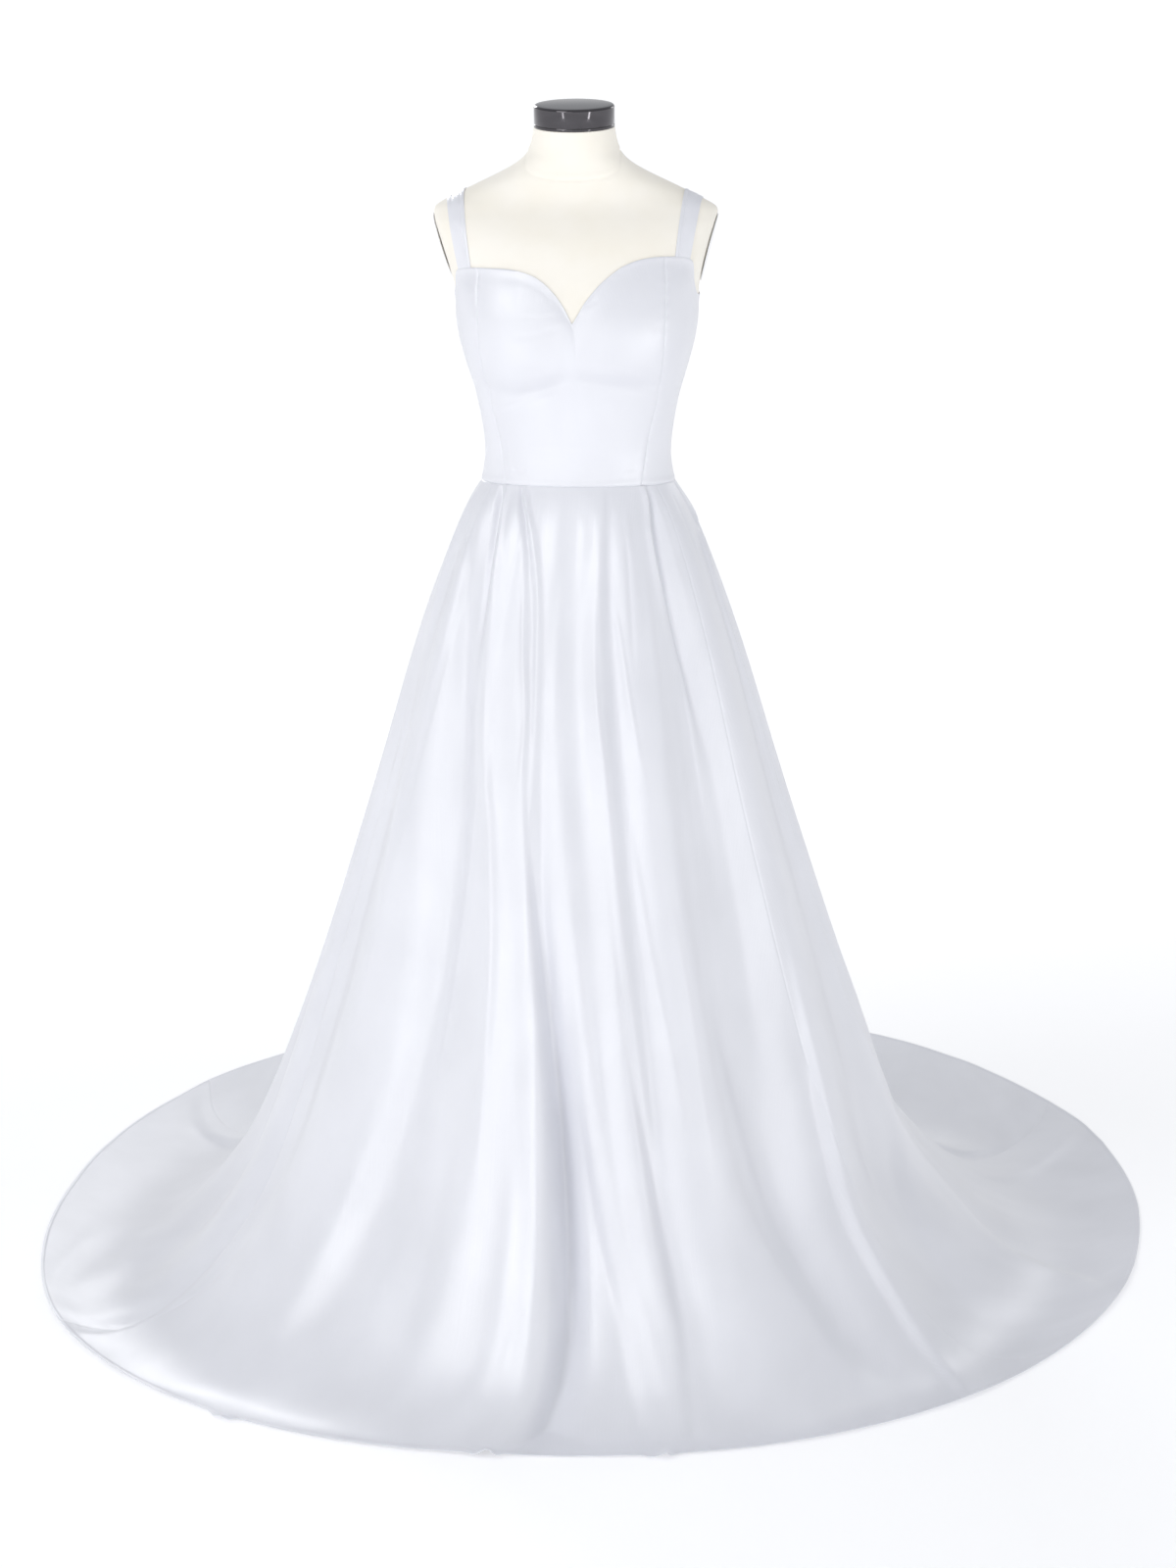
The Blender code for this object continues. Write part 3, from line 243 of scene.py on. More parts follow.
# Creases finer than the solids' folds: the path of each one as skirt station and angle, its outward
# depth in mm, and its spread to the lower-angle and higher-angle side in degrees
CREASE_COLUMNS = ("name", "path", "depth", "spread_low", "spread_high")
CREASES = (
    ("left pleat", ((-0.6, -31), (0.3, -29), (2.4, -19.2), (3.4, -15), (4.4, -12.4)), -5.0, 1.7, 1.5),
    ("thin bright line beside it", ((-0.6, -27), (0.3, -25.2), (2.6, -14.6), (3.8, -10.4), (5.2, -8.4), (6.4, -7.2), (7.8, -5.8)), 3.6, 1.3, 1.5),
    ("short ridge left of the pleat", ((3.6, -16.5), (4.7, -13.6), (5.4, -10.9), (6.2, -11)), 2.2, 0.9, 0.9),
    ("wide bright band", ((-0.4, 15.4), (0.6, 14.9), (2.9, 12.5), (4.9, 8.4), (5.8, 10.5), (6.7, 12.0), (7.8, 13.6)), 4.6, 3.2, 2.6),
    ("its lower line", ((4.0, 8.8), (4.9, 8.6), (5.8, 10.7), (6.7, 12.2), (7.4, 13.3), (8.6, 14.4)), 1.8, 0.8, 0.7),
    ("second bright line", ((3.8, 16), (4.5, 17.8), (5.3, 19.7), (6.1, 22.6)), 2.2, 1.0, 0.8),
    ("third bright line", ((6.2, 16.8), (6.8, 18.2), (7.8, 20.4), (8.4, 22.1), (9.8, 24)), 2.6, 1.1, 0.9),
    ("right pleat", ((-0.6, 47.4), (0.7, 46.3), (3.0, 41.4), (4.3, 43), (5.8, 46.4)), -5.0, 1.2, 2.6),
    ("right pleat's edge", ((-0.6, 43.6), (0.7, 42.6), (3.0, 37.9), (4.6, 39)), 3.4, 2.4, 1.5),
    ("right soft hollow", ((3.4, 43), (5.1, 46), (6.0, 49), (7.6, 48), (9.2, 44)), -5.0, 3.2, 6.0),
    ("right side layer", ((0.4, 96), (1.5, 94), (3.8, 80), (4.7, 81), (5.4, 83.5), (7.6, 84), (8.7, 83), (10.2, 90)), 5.0, 2.4, 0.9),
    ("right side layer's shadow", ((0.4, 98.2), (1.5, 96.2), (3.8, 82.2), (4.7, 83.2), (5.4, 85.7), (7.6, 86.2), (8.7, 85.2), (10.2, 92.2)), -7.0, 0.9, 2.6),
    ("left waist hollow", ((-0.6, -48), (1.0, -42.5), (3.2, -37.2), (4.1, -34.2), (5.6, -31)), -5.5, 2.0, 2.4),
    ("left waist ridge", ((-0.6, -41.6), (0.8, -37.8), (3.2, -31), (4.8, -27)), 3.6, 1.9, 1.9),
    ("left long hollow", ((1.2, -58), (3.9, -46.2), (4.8, -41), (5.7, -31.5), (7.6, -27), (8.8, -29), (10.4, -30)), -5.0, 3.4, 3.4),
    ("left long ridge", ((1.8, -73.2), (4.3, -66), (5.1, -60.4), (6.6, -50.7), (7.4, -47.5), (8.3, -47.8), (9.8, -46)), 4.0, 3.4, 3.4),
    ("narrow bright line", ((4.6, -28), (5.3, -25.6), (6.5, -17.9), (7.5, -14.4), (8.4, -13.3), (10, -12.6)), 3.2, 1.2, 1.2),
    ("left low hollow", ((7.6, -11.6), (8.4, -13.4), (9.1, -16), (9.9, -18.2), (11.3, -18.8), (13.1, -17.4), (15.6, -13)), -7.0, 4.6, 3.0),
    ("bright band by the lap", ((9.2, -6.6), (11.0, -5.2), (12.6, -5.0), (14.2, -5.0), (15.8, -5.0)), 3.0, 1.6, 1.3),
    ("left low ridge", ((8.2, -32.2), (9.4, -34.4), (10.7, -37.6), (12.5, -37.3), (14.6, -34)), 4.5, 4.0, 3.4),
    ("left layer's edge", ((4.8, -65.6), (5.7, -65), (8.1, -63.8), (10.1, -61.6), (11.9, -58.6), (13.1, -57.8), (14.4, -55.1), (18.4, -50.5)), 7.0, 0.9, 3.4),
    ("left layer's shadow", ((4.8, -67.6), (5.7, -67), (8.1, -65.8), (10.1, -63.6), (11.9, -60.6), (13.1, -59.7), (14.4, -56.8), (18.4, -52)), -9.0, 2.8, 0.9),
    ("lap's edge", ((5.6, -12.4), (6.0, -11.2), (6.8, -7.9), (7.8, -4.3), (9.1, -1.5), (10.6, 0), (11.9, 0.2), (13.8, 0), (15.0, -0.4), (18.6, -1.6)), 7.0, 3.0, 0.7),
    ("lap's shadow", ((5.6, -10.8), (6.0, -9.6), (6.8, -6.3), (7.8, -2.7), (9.1, 0.2), (10.6, 1.8), (11.9, 2.0), (13.8, 1.7), (15.0, 1.2), (18.2, 0)), -24.0, 0.7, 2.2),
    ("bright line right of the lap", ((6.6, 0.5), (7.3, 2.6), (8.0, 5.0), (8.8, 7.0), (9.6, 8.9), (11.4, 11.4), (13.3, 13.3), (14.8, 14)), 3.4, 1.4, 1.2),
    ("hollow right of the lap", ((7.4, 0.4), (9.0, 3.6), (10.0, 5.6), (11.1, 7.2), (12.9, 8.8), (14.6, 9.8), (17, 10.4)), -11.0, 3.6, 1.5),
    ("fine dark crease", ((6.4, 10.6), (7.1, 11.9), (8.2, 13.6), (9.2, 15.4), (10.6, 17.5), (12.7, 16.9), (16.7, 14.7), (18.6, 14.2)), -5.0, 0.9, 1.0),
    ("right hollow's edge", ((6.0, 30), (7.8, 29.6), (9.0, 30.4), (10.0, 31), (11.1, 34), (12.6, 36.6), (15.8, 38.4)), 4.0, 3.4, 1.6),
    ("right hollow", ((6.6, 34), (8.4, 35), (9.2, 37.4), (10.6, 39.2), (12.3, 41), (16, 42.4)), -8.0, 2.4, 4.6),
    ("right crease", ((7.2, 60), (8.6, 57.3), (9.9, 54.6), (11.1, 52.2), (12.1, 51.8), (13.7, 50.6), (17.1, 43.4), (18.6, 40)), 7.0, 0.9, 4.0),
    ("right crease's shadow", ((7.2, 58), (8.6, 55.3), (9.9, 52.7), (11.1, 50.4), (12.1, 50.1), (13.7, 49.1), (17.1, 42), (18.2, 39)), -6.0, 3.4, 0.9),
    ("right low hollow", ((9.2, 80), (9.8, 79.3), (11.5, 70.2), (13.2, 65.5), (15.4, 62.5)), -5.0, 2.8, 2.8),
    ("right train fold's rim", ((9.4, 80), (11.4, 86), (13.2, 82), (15.3, 78.6), (17.8, 69)), 7.0, 3.4, 1.2),
    ("right train fold's shadow", ((9.4, 83.6), (11.4, 89.4), (13.2, 85), (15.3, 81.2), (17.8, 71.2)), -6.0, 1.2, 3.4),
    ("left train strip", ((12.8, -76.5), (14.9, -83), (16.1, -79.4), (17.0, -70), (18.6, -62)), 4.0, 5.0, 7.0),
    ("left train hollow", ((12.8, -70), (14.9, -76), (16.1, -72), (17.0, -64), (18.4, -58)), -2.5, 4.0, 4.0),
    ("right train ripple", ((13.0, 108), (15.2, 112), (16.8, 114), (18.4, 112)), 9.0, 2.0, 4.5),
    ("right train second ripple", ((12.4, 124), (14.6, 128), (16.6, 133), (18.6, 136)), 7.0, 3.4, 2.4),
    ("right train hollow", ((13.4, 117), (15.4, 121), (17.8, 124)), -5.0, 3.0, 3.4),
    ("right back train ripple", ((12.0, 149), (15.0, 152), (18.4, 150)), 6.0, 2.2, 3.4),
    ("left back train ripple", ((12.4, -112), (15.2, -118), (18.4, -119)), 7.0, 4.0, 2.0),
    ("left inner back train ripple", ((12.0, -141), (15.0, -143), (18.4, -146)), 6.5, 2.2, 3.6),
    ("centre back train ripple", ((12.4, 172), (15.4, 175), (18.4, 174)), 6.0, 3.6, 2.2),
    ("left side pleat", ((-0.6, -88), (2.0, -89), (4.2, -90)), -4.5, 2.8, 1.6),
    ("left back pleat", ((-0.6, -118), (2.2, -117), (5.0, -116)), -6.0, 1.6, 2.8),
    ("left back pleat's edge", ((-0.6, -122), (2.2, -121), (4.4, -120)), 4.0, 1.6, 2.4),
    ("left inner back pleat", ((-0.6, -140), (2.4, -142), (5.4, -143)), -6.0, 1.5, 2.8),
    ("left centre back pleat", ((-0.6, -163), (2.2, -164), (5.0, -164)), -6.0, 1.5, 2.4),
    ("left centre back pleat's edge", ((-0.6, -167), (2.2, -168), (4.4, -168)), 4.0, 2.4, 1.4),
    ("right side pleat", ((-0.6, 84), (2.0, 86), (3.6, 88)), -3.5, 1.6, 2.8),
    ("right back pleat", ((-0.6, 114), (2.2, 115), (5.2, 116)), -6.0, 2.8, 1.5),
    ("right inner back pleat", ((-0.6, 138), (2.2, 140), (5.0, 142)), -6.0, 2.6, 1.5),
    ("right inner back pleat's edge", ((-0.6, 142), (2.2, 144), (4.6, 146)), 4.0, 1.5, 2.4),
    ("right centre back pleat", ((-0.6, 162), (2.0, 163), (4.6, 164)), -5.5, 2.2, 1.5),
    ("left back long crease", ((5.0, -121), (9.0, -118), (13.0, -116), (17.4, -114)), -8.0, 1.1, 3.6),
    ("left back long crease's edge", ((5.0, -123.4), (9.0, -120.4), (13.0, -118.4), (17.4, -116)), 6.0, 3.6, 1.0),
    ("left inner back long crease", ((6.0, -149), (11.0, -149), (17.5, -150)), 7.0, 3.4, 1.0),
    ("left inner back crease's shadow", ((6.0, -147), (11.0, -147), (17.0, -148)), -7.0, 0.9, 3.0),
    ("centre back long crease", ((4.6, 183), (10.0, 184), (16.5, 184)), -7.0, 1.0, 3.2),
    ("centre back crease's edge", ((4.6, 181), (10.0, 182), (16.5, 182)), 5.0, 3.2, 1.0),
    ("right inner back long crease", ((5.6, 154), (11.0, 155), (17.5, 155)), -7.0, 3.2, 1.0),
    ("right inner back crease's edge", ((5.6, 156.2), (11.0, 157.2), (17.5, 157)), 5.0, 1.0, 3.2),
    ("right back long crease", ((5.0, 128), (10.0, 126), (17.6, 121)), 7.0, 1.0, 3.4),
    ("right back crease's shadow", ((5.0, 126), (10.0, 124), (17.2, 119.4)), -7.0, 3.2, 0.9),
)

# Slight folds that no one would draw: how many, and between which sizes they are drawn
SLIGHT_FOLDS = 110
SLIGHT_LENGTH = (2.5, 6.0)
SLIGHT_DRIFT = 4.0
SLIGHT_DEPTH = (0.5, 1.5)
SLIGHT_SPREAD = (0.9, 2.6)
SLIGHT_STRIDE = 7
SLIGHT_SEED = 11
# Share of a crease's length over which it fades at each end, and over which its bends are rounded
CREASE_FADE = 0.28
CREASE_SOFTNESS = 0.04

# Places where the narrow hem turns over on the floor: angle, reach and rise in mm, run-up in degrees
HEM_TIP_COLUMNS = ("angle", "reach", "rise", "run_up")
HEM_TIPS = (
    (-25.6, 22.0, 9.0, 3.0),
    (-1.6, 17.0, 12.0, 2.0),
    (11.6, 20.0, 10.0, 2.4),
)
HEM_TIP_DROP = 1.1
HEM_TIP_FROM = 0.05

# Skirt gores, with the columns of faces between the seams, and the cut: width, length and area
GORE_COLUMNS = ("name", "from_angle", "to_angle", "columns", "cut_width", "cut_length", "cut_area")
GORES = (
    ("skirt_front", -55, 55, 270, 1.27, 1.30, 0.98),
    ("skirt_side_left", 55, 120, 140, 1.15, 1.40, 0.70),
    ("skirt_back_left", 120, 180, 120, 1.05, 1.90, 0.86),
    ("skirt_back_right", 180, 240, 120, 1.05, 1.90, 0.86),
    ("skirt_side_right", 240, 305, 140, 1.15, 1.40, 0.70),
)
SKIRT_ROWS = 150
# Columns stand closer together round the lapped crease
CROWD_ANGLE = -3.0
CROWD_SPREAD = 9.0
CROWD_EXTRA = 1.6

# Seams of the bodice: half distance of the front princess seam, and angle of the back one
PRINCESS_COLUMNS = ("height", "front_x", "back_angle")
PRINCESS = (
    (1.098, 0.087, 140.0),
    (1.160, 0.096, 139.0),
    (1.220, 0.110, 136.0),
    (1.285, 0.118, 132.0),
    (1.340, 0.1195, 129.5),
    (1.405, 0.120, 128.0),
)

# Upper edge of the bodice outside the front panel, as angle and height
EDGE_COLUMNS = ("angle", "height", "share_of_corner")
TOP_EDGE = (
    (38.0, 1.388, 1.00),
    (50.0, 1.387, 1.00),
    (61.0, 1.381, 0.90),
    (72.0, 1.352, 0.45),
    (82.0, 1.338, 0.10),
    (90.0, ARMHOLE_BOTTOM, 0.0),
    (102.0, 1.337, 0.0),
    (116.0, 1.346, 0.0),
    (129.0, 1.360, 0.0),
    (146.0, 1.360, 0.0),
    (153.0, 1.336, 0.0),
    (163.0, 1.299, 0.0),
    (172.0, 1.277, 0.0),
    (180.0, 1.270, 0.0),
)
BODICE_ROWS = 120
FRONT_COLUMNS = 150
SETTLING_ROUNDS = 20
PANEL_COLUMNS = ("name", "front_seam", "back_seam", "columns", "cut_width", "cut_length", "cut_area")
BODICE_PANELS = (
    ("bodice_side_front", "princess", "side", 70, 0.11, 0.29, 0.025),
    ("bodice_side_back", "side", "back_princess", 50, 0.11, 0.27, 0.023),
    ("bodice_back", "back_princess", "centre_back", 60, 0.12, 0.27, 0.024),
)
FRONT_CUT = (0.29, 0.30, 0.064)

# Creases of the front of the bodice: from and to as (distance from the middle, height), outward
# depth in mm, and half width in mm
BODICE_CREASE_COLUMNS = ("name", "from", "to", "bow", "depth", "spread")
BODICE_CREASES = (
    ("under the right bust", (-0.125, 1.222), (0.000, 1.238), -0.016, -4.4, 13.0),
    ("under the left bust", (0.000, 1.238), (0.125, 1.226), -0.006, -4.0, 12.0),
    ("fold under the right bust", (-0.105, 1.187), (-0.004, 1.226), 0.004, 1.1, 4.5),
    ("fold under the left bust", (0.012, 1.226), (0.085, 1.212), 0.001, 1.0, 4.5),
    ("upper crease from the notch", (-0.060, 1.312), (-0.012, 1.318), -0.002, -1.1, 4.5),
    ("lower crease from the notch", (-0.070, 1.288), (-0.008, 1.303), -0.003, -1.1, 4.5),
    ("left crease from the notch", (0.012, 1.318), (0.040, 1.336), 0.002, -1.2, 4.0),
    ("right cup's roll", (-0.075, 1.362), (-0.018, 1.332), 0.006, 2.0, 9.0),
    ("left cup's roll", (0.016, 1.330), (0.060, 1.368), 0.006, 2.0, 8.0),
    ("pucker above the right pleat", (-0.078, 1.117), (-0.060, 1.115), 0.000, -1.1, 2.6),
    ("pucker above the left pleat", (0.064, 1.119), (0.082, 1.121), 0.000, -0.7, 3.2),
    ("right waist drag", (-0.086, 1.160), (-0.078, 1.105), 0.000, 0.8, 5.0),
    ("left waist drag", (0.083, 1.106), (0.090, 1.158), 0.000, 0.8, 5.0),
    ("soft midriff fold", (-0.070, 1.150), (0.060, 1.142), 0.003, -0.5, 8.0),
)

# Room: a white floor with a painted glow that rises away from the dress, walls and ceiling as light of the
# surroundings, and lamps as name, place, aim, size and power in watts
FLOOR_HALF = 400.0
# Painted glow of the floor, which shines by itself: its strength near the dress and far away, and the distances in
# metres between which it rises
FLOOR_GLOW = (0.24, 0.50)
FLOOR_GLOW_FROM = (1.2, 7.0)
WALL_LIGHT = (1.0, 1.0, 1.0, 1.0)
CEILING_LIGHT = (0.46, 0.47, 0.49, 1.0)
EXPOSURE = 0.17
SOFTBOXES = (
    ("front left", (-1.6, -2.4, 3.1), (0.0, -0.1, 1.1), (1.4, 1.4), 18.0, 180.0),
    ("front middle", (-1.1, -4.0, 2.3), (0.0, 0.0, 0.8), (2.2, 1.4), 7.0, 180.0),
    ("front floor", (-1.6, -2.9, 1.8), (0.0, -0.4, 0.0), (0.9, 0.6), 0.7, 50.0),
    ("front left strip", (-1.45, -2.75, 0.70), (0.0, 0.0, 1.2), (0.16, 1.2), 3.5, 180.0),
    ("front right strip", (2.35, -2.05, 0.90), (0.0, 0.0, 1.2), (0.22, 1.6), 7.0, 180.0),
    ("back left", (-1.8, 3.6, 2.8), (0.0, 0.5, 0.4), (1.4, 1.4), 30.0, 180.0),
    ("back right", (2.4, 3.4, 2.6), (0.0, 0.5, 0.4), (1.2, 1.2), 9.0, 180.0),
)


def smooth_curve(stations, values):
    """Curve through a table's column that never overshoots it, as a function of the station."""
    stations = np.asarray(stations, float)
    values = np.asarray(values, float)
    steps = np.diff(stations)
    slopes = np.diff(values) / steps
    tangents = np.zeros_like(values)
    same_way = slopes[:-1] * slopes[1:] > 0
    total = np.where(same_way, slopes[:-1] + slopes[1:], 1.0)
    tangents[1:-1] = np.where(same_way, 2 * slopes[:-1] * slopes[1:] / total, 0.0)
    tangents[0] = slopes[0]
    tangents[-1] = slopes[-1]

    def curve(at):
        at = np.asarray(at, float)
        low = np.clip(np.searchsorted(stations, at, side="right") - 1, 0, len(steps) - 1)
        step = steps[low]
        s = np.clip((at - stations[low]) / step, 0.0, 1.0)
        start = values[low] * (1 + 2 * s) * (1 - s) ** 2 + tangents[low] * step * s * (1 - s) ** 2
        end = values[low + 1] * (3 - 2 * s) * s**2 - tangents[low + 1] * step * s**2 * (1 - s)
        return start + end

    return curve


def softened(curve, low, high, spread, samples=900):
    """The same curve with its bends rounded over a spread, since satin shows every bend."""
    at = np.linspace(low, high, samples)
    values = curve(at)
    step = at[1] - at[0]
    reach = int(3 * spread / step)
    kernel = np.exp(-0.5 * (np.arange(-reach, reach + 1) * step / spread) ** 2)
    before = 2 * values[0] - values[reach:0:-1]
    after = 2 * values[-1] - values[-2 : -reach - 2 : -1]
    soft = np.convolve(np.concatenate([before, values, after]), kernel / kernel.sum(), mode="valid")
    return lambda wanted: np.interp(wanted, at, soft)


def column(names, rows, name):
    """One named column of a table."""
    place = names.index(name)
    return [row[place] for row in rows]


def section_curves(rows, stations, spread):
    """One soft curve for each named column of a table of rings."""
    curves = {}
    for name in SECTION_COLUMNS:
        exact = smooth_curve(stations, column(SECTION_COLUMNS, rows, name))
        curves[name] = softened(exact, stations[0], stations[-1], spread)
    return curves


TORSO_HEIGHTS = column(SECTION_COLUMNS, TORSO, "height")
BODICE_HEIGHTS = column(SECTION_COLUMNS, BODICE, "height")
TORSO_CURVES = section_curves(TORSO, TORSO_HEIGHTS, 0.004)
BODICE_CURVES = section_curves(BODICE, BODICE_HEIGHTS, 0.008)
SKIRT_CURVES = section_curves(SKIRT, range(len(SKIRT)), 0.45)


def ring_point(curves, station, angle):
    """Point of a lofted surface at a station of its table and an angle in degrees."""
    turn = np.radians(angle)
    sine, cosine = np.sin(turn), np.cos(turn)
    at_front = cosine > 0
    power = 2 / np.where(at_front, curves["front_square"](station), curves["back_square"](station))
    side = curves["side"](station)
    depth = np.where(at_front, side - curves["front"](station), curves["back"](station) - side)
    x = curves["half_width"](station) * np.sign(sine) * np.abs(sine) ** power
    y = side - depth * np.sign(cosine) * np.abs(cosine) ** power
    height = curves["height"](station) + 0 * x
    return np.stack([x, y, height], axis=-1)


def ease(value, low, high):
    """0 below low, 1 above high, and a soft step between."""
    s = np.clip((value - low) / (high - low), 0.0, 1.0)
    return s * s * (3 - 2 * s)


def soft_least(first, second, rounding):
    """The lesser of two values, with the corner between them rounded."""
    return 0.5 * (first + second - np.sqrt((first - second) ** 2 + rounding**2))


def arm_plane(height):
    """How far out the flat cut for the armplate lies at a height."""
    low_height, low_x = ARM_PLANE_LOW
    high_height, high_x = ARM_PLANE_HIGH
    return low_x + (high_x - low_x) * (height - low_height) / (high_height - low_height)


def lean(height):
    """Sideways lean of the form and of the bodice on it."""
    return LEAN * ease(height, LEAN_FROM, LEAN_FULLY)


def unit(vectors):
    return vectors / np.linalg.norm(vectors, axis=-1, keepdims=True)


def fold_curves():
    """Angle and depth of each fold as curves of the skirt's station."""
    curves = []
    for row in FOLDS:
        fold = dict(zip(FOLD_COLUMNS, row))
        angles = [fold[f"angle_{place}"] for place in FOLD_PLACES]
        depths = [fold[f"depth_{place}"] / 1000 for place in FOLD_PLACES]
        curves.append((
            softened(smooth_curve(FOLD_STATIONS, [angles[0], *angles]), 0.0, HEM_STATION, 0.5),
            softened(smooth_curve(FOLD_STATIONS, [0.0, *depths]), 0.0, HEM_STATION, 0.5),
            fold["spread_low"],
            fold["spread_high"],
        ))
    return curves


FOLD_CURVES = fold_curves()


def slight_folds():
    """Rows like those of the creases, drawn at random but always the same."""
    draw = np.random.default_rng(SLIGHT_SEED)
    rows = []
    for number in range(SLIGHT_FOLDS):
        start = draw.uniform(-0.5, HEM_STATION - 2)
        middle, end = start + np.array([0.5, 1.0]) * draw.uniform(*SLIGHT_LENGTH)
        first = -180 + 360 * ((number + draw.uniform(-0.5, 0.5)) * SLIGHT_STRIDE / SLIGHT_FOLDS % 1)
        drift = draw.uniform(-SLIGHT_DRIFT, SLIGHT_DRIFT)
        bend = draw.uniform(-SLIGHT_DRIFT, SLIGHT_DRIFT) / 4
        path = ((start, first), (middle, first + drift / 2 + bend), (end, first + drift))
        depth = draw.uniform(*SLIGHT_DEPTH) * draw.choice([-1, 1])
        rows.append(("slight fold", path, depth, *draw.uniform(*SLIGHT_SPREAD, size=2)))
    return rows


def gaussian_step(away, low, high):
    """1 at the line, falling to 0 over its own spread on either side."""
    return np.exp(-((away / np.where(away < 0, low, high)) ** 2))


def crease_curves():
    """Each crease as its station range, its angle as a curve of the station, depth and spreads."""
    curves = []
    for row in (*CREASES, *slight_folds()):
        crease = dict(zip(CREASE_COLUMNS, row))
        stations, angles = zip(*crease["path"])
        low, high = stations[0], stations[-1]
        line = softened(smooth_curve(stations, angles), low, high, CREASE_SOFTNESS * (high - low))
        curves.append((low, high, line, crease["depth"] / 1000, crease["spread_low"], crease["spread_high"]))
    return curves


CREASE_CURVES = crease_curves()


def crease_depth(station, angle):
    """How far the fine creases push the skirt outwards."""
    push = 0.0
    for low, high, line, depth, spread_low, spread_high in CREASE_CURVES:
        s = (station - low) / (high - low)
        envelope = ease(s, 0.0, CREASE_FADE) * (1 - ease(s, 1 - CREASE_FADE, 1.0))
        away = (angle - line(station) + 180) % 360 - 180
        push = push + depth * envelope * gaussian_step(away, spread_low, spread_high)
    return push


def fold_depth(station, angle):
    """How far the main folds push the skirt outwards."""
    push = 0.0
    for fold_angle, depth, spread_low, spread_high in FOLD_CURVES:
        away = (angle - fold_angle(station) + 180) % 360 - 180
        push = push + depth(station) * gaussian_step(away, spread_low, spread_high)
    return push


def hem_tips(station, angle):
    """Reach and rise of the places where the hem turns over."""
    reach = 0.0
    rise = 0.0
    near_hem = ease(station, HEM_STATION - 1.0, HEM_STATION)
    for row in HEM_TIPS:
        tip = dict(zip(HEM_TIP_COLUMNS, row))
        away = (angle - tip["angle"] + 180) % 360 - 180
        shape = ease(away, -tip["run_up"], 0.0) * (1 - ease(away, 0.0, HEM_TIP_DROP))
        reach = reach + tip["reach"] / 1000 * shape * near_hem
        rise = rise + tip["rise"] / 1000 * shape**3 * near_hem
    return reach, rise


def skirt_surface(station, angle):
    """Outer face of the skirt with its folds and creases, never under the floor."""
    point = ring_point(SKIRT_CURVES, station, angle)
    push = fold_depth(station, angle) + crease_depth(station, angle)
    tip_reach, tip_rise = hem_tips(station, angle)
    side = SKIRT_CURVES["side"](station)
    out_x = point[..., 0]
    out_y = point[..., 1] - side
    reach = np.hypot(out_x, out_y)
    lying = ease(station, SKIRT_LIES_FROM, SKIRT_LIES_FULLY)
    along = push * (1 - LYING_LOSS * lying) + tip_reach
    to_front = np.clip(-out_y / (side - SKIRT_CURVES["front"](station)), 0.0, 1.0)
    point[..., 0] += along * out_x / reach + HEM_SWAY * lying * to_front
    point[..., 1] += along * out_y / reach
    rise = point[..., 2] + LYING_RISE * lying * push + tip_rise
    point[..., 2] = -soft_least(-rise, -CLOTH, 0.002)
    return point


def bodice_relief(point):
    """Outward depth of the creases on the front of the bodice."""
    x, height = point[..., 0], point[..., 2]
    at_front = point[..., 1] < 0
    push = 0.0 * x
    for row in BODICE_CREASES:
        crease = dict(zip(BODICE_CREASE_COLUMNS, row))
        (from_x, from_height), (to_x, to_height) = crease["from"], crease["to"]
        run_x, run_height = to_x - from_x, to_height - from_height
        length = math.hypot(run_x, run_height)
        s = ((x - from_x) * run_x + (height - from_height) * run_height) / length**2
        bow = crease["bow"] * 4 * s * (1 - s)
        off = ((height - from_height) * run_x - (x - from_x) * run_height) / length * np.sign(run_x) - bow
        envelope = ease(s, -0.15, 0.25) * (1 - ease(s, 0.75, 1.15))
        push += crease["depth"] / 1000 * envelope * np.exp(-((off * 1000 / crease["spread"]) ** 2))
    return push * at_front


def bodice_surface(height, angle):
    """Outer face of the bodice, which leans with the form."""
    point = ring_point(BODICE_CURVES, height, angle)
    push = bodice_relief(point)
    turn = np.radians(angle)
    point[..., 0] += lean(height) + push * np.sin(turn)
    point[..., 1] -= push * np.cos(turn)
    return point


def torso_surface(height, angle):
    """Surface of the form, with its flat arm cuts, its neck seam and its neck tilted forward."""
    point = ring_point(TORSO_CURVES, height, angle)
    x = point[..., 0]
    eased = ARM_CUT_EASE[2] * (1 - ease(height, *ARM_CUT_EASE[:2]))
    limit = np.where(height < ARM_PLANE_HIGH[0], arm_plane(height) + eased, 1.0)
    point[..., 0] = np.sign(x) * soft_least(np.abs(x), limit, 0.0025) + lean(height)
    seam = NECK_SEAM_HEIGHT - NECK_SEAM_DIP * np.clip(np.cos(np.radians(angle)), 0.0, 1.0) ** 1.5
    groove = 0.0016 * np.exp(-(((height - seam) / 0.0014) ** 2))
    roll = 0.0005 * np.exp(-(((height - seam - 0.004) / 0.003) ** 2))
    point[..., :2] *= 1 - ((groove - roll) / np.hypot(point[..., 0], point[..., 1]))[..., None]
    tilt = math.tan(NECK_TILT) * ease(height, NECK_TILT_FROM, NECK_TOP)
    point[..., 2] = height + tilt * point[..., 1]
    return point


def grid_normals(grid, outward):
    """Unit normals of a grid of points."""
    return unit(np.cross(np.gradient(grid, axis=1), np.gradient(grid, axis=0))) * outward


def lengths_along(grid, axis):
    """Running length of each line of a grid."""
    steps = np.linalg.norm(np.diff(grid, axis=axis), axis=-1)
    start = np.zeros_like(np.take(steps, [0], axis=axis))
    return np.cumsum(np.concatenate([start, steps], axis=axis), axis=axis)


def cloth_lengths(grid):
    """Place of each point in the cut cloth, in metres from the middle of its upper edge."""
    across = lengths_along(grid, 1)
    middle = grid.shape[1] // 2
    return across - across[:, middle : middle + 1], -lengths_along(grid, 0)


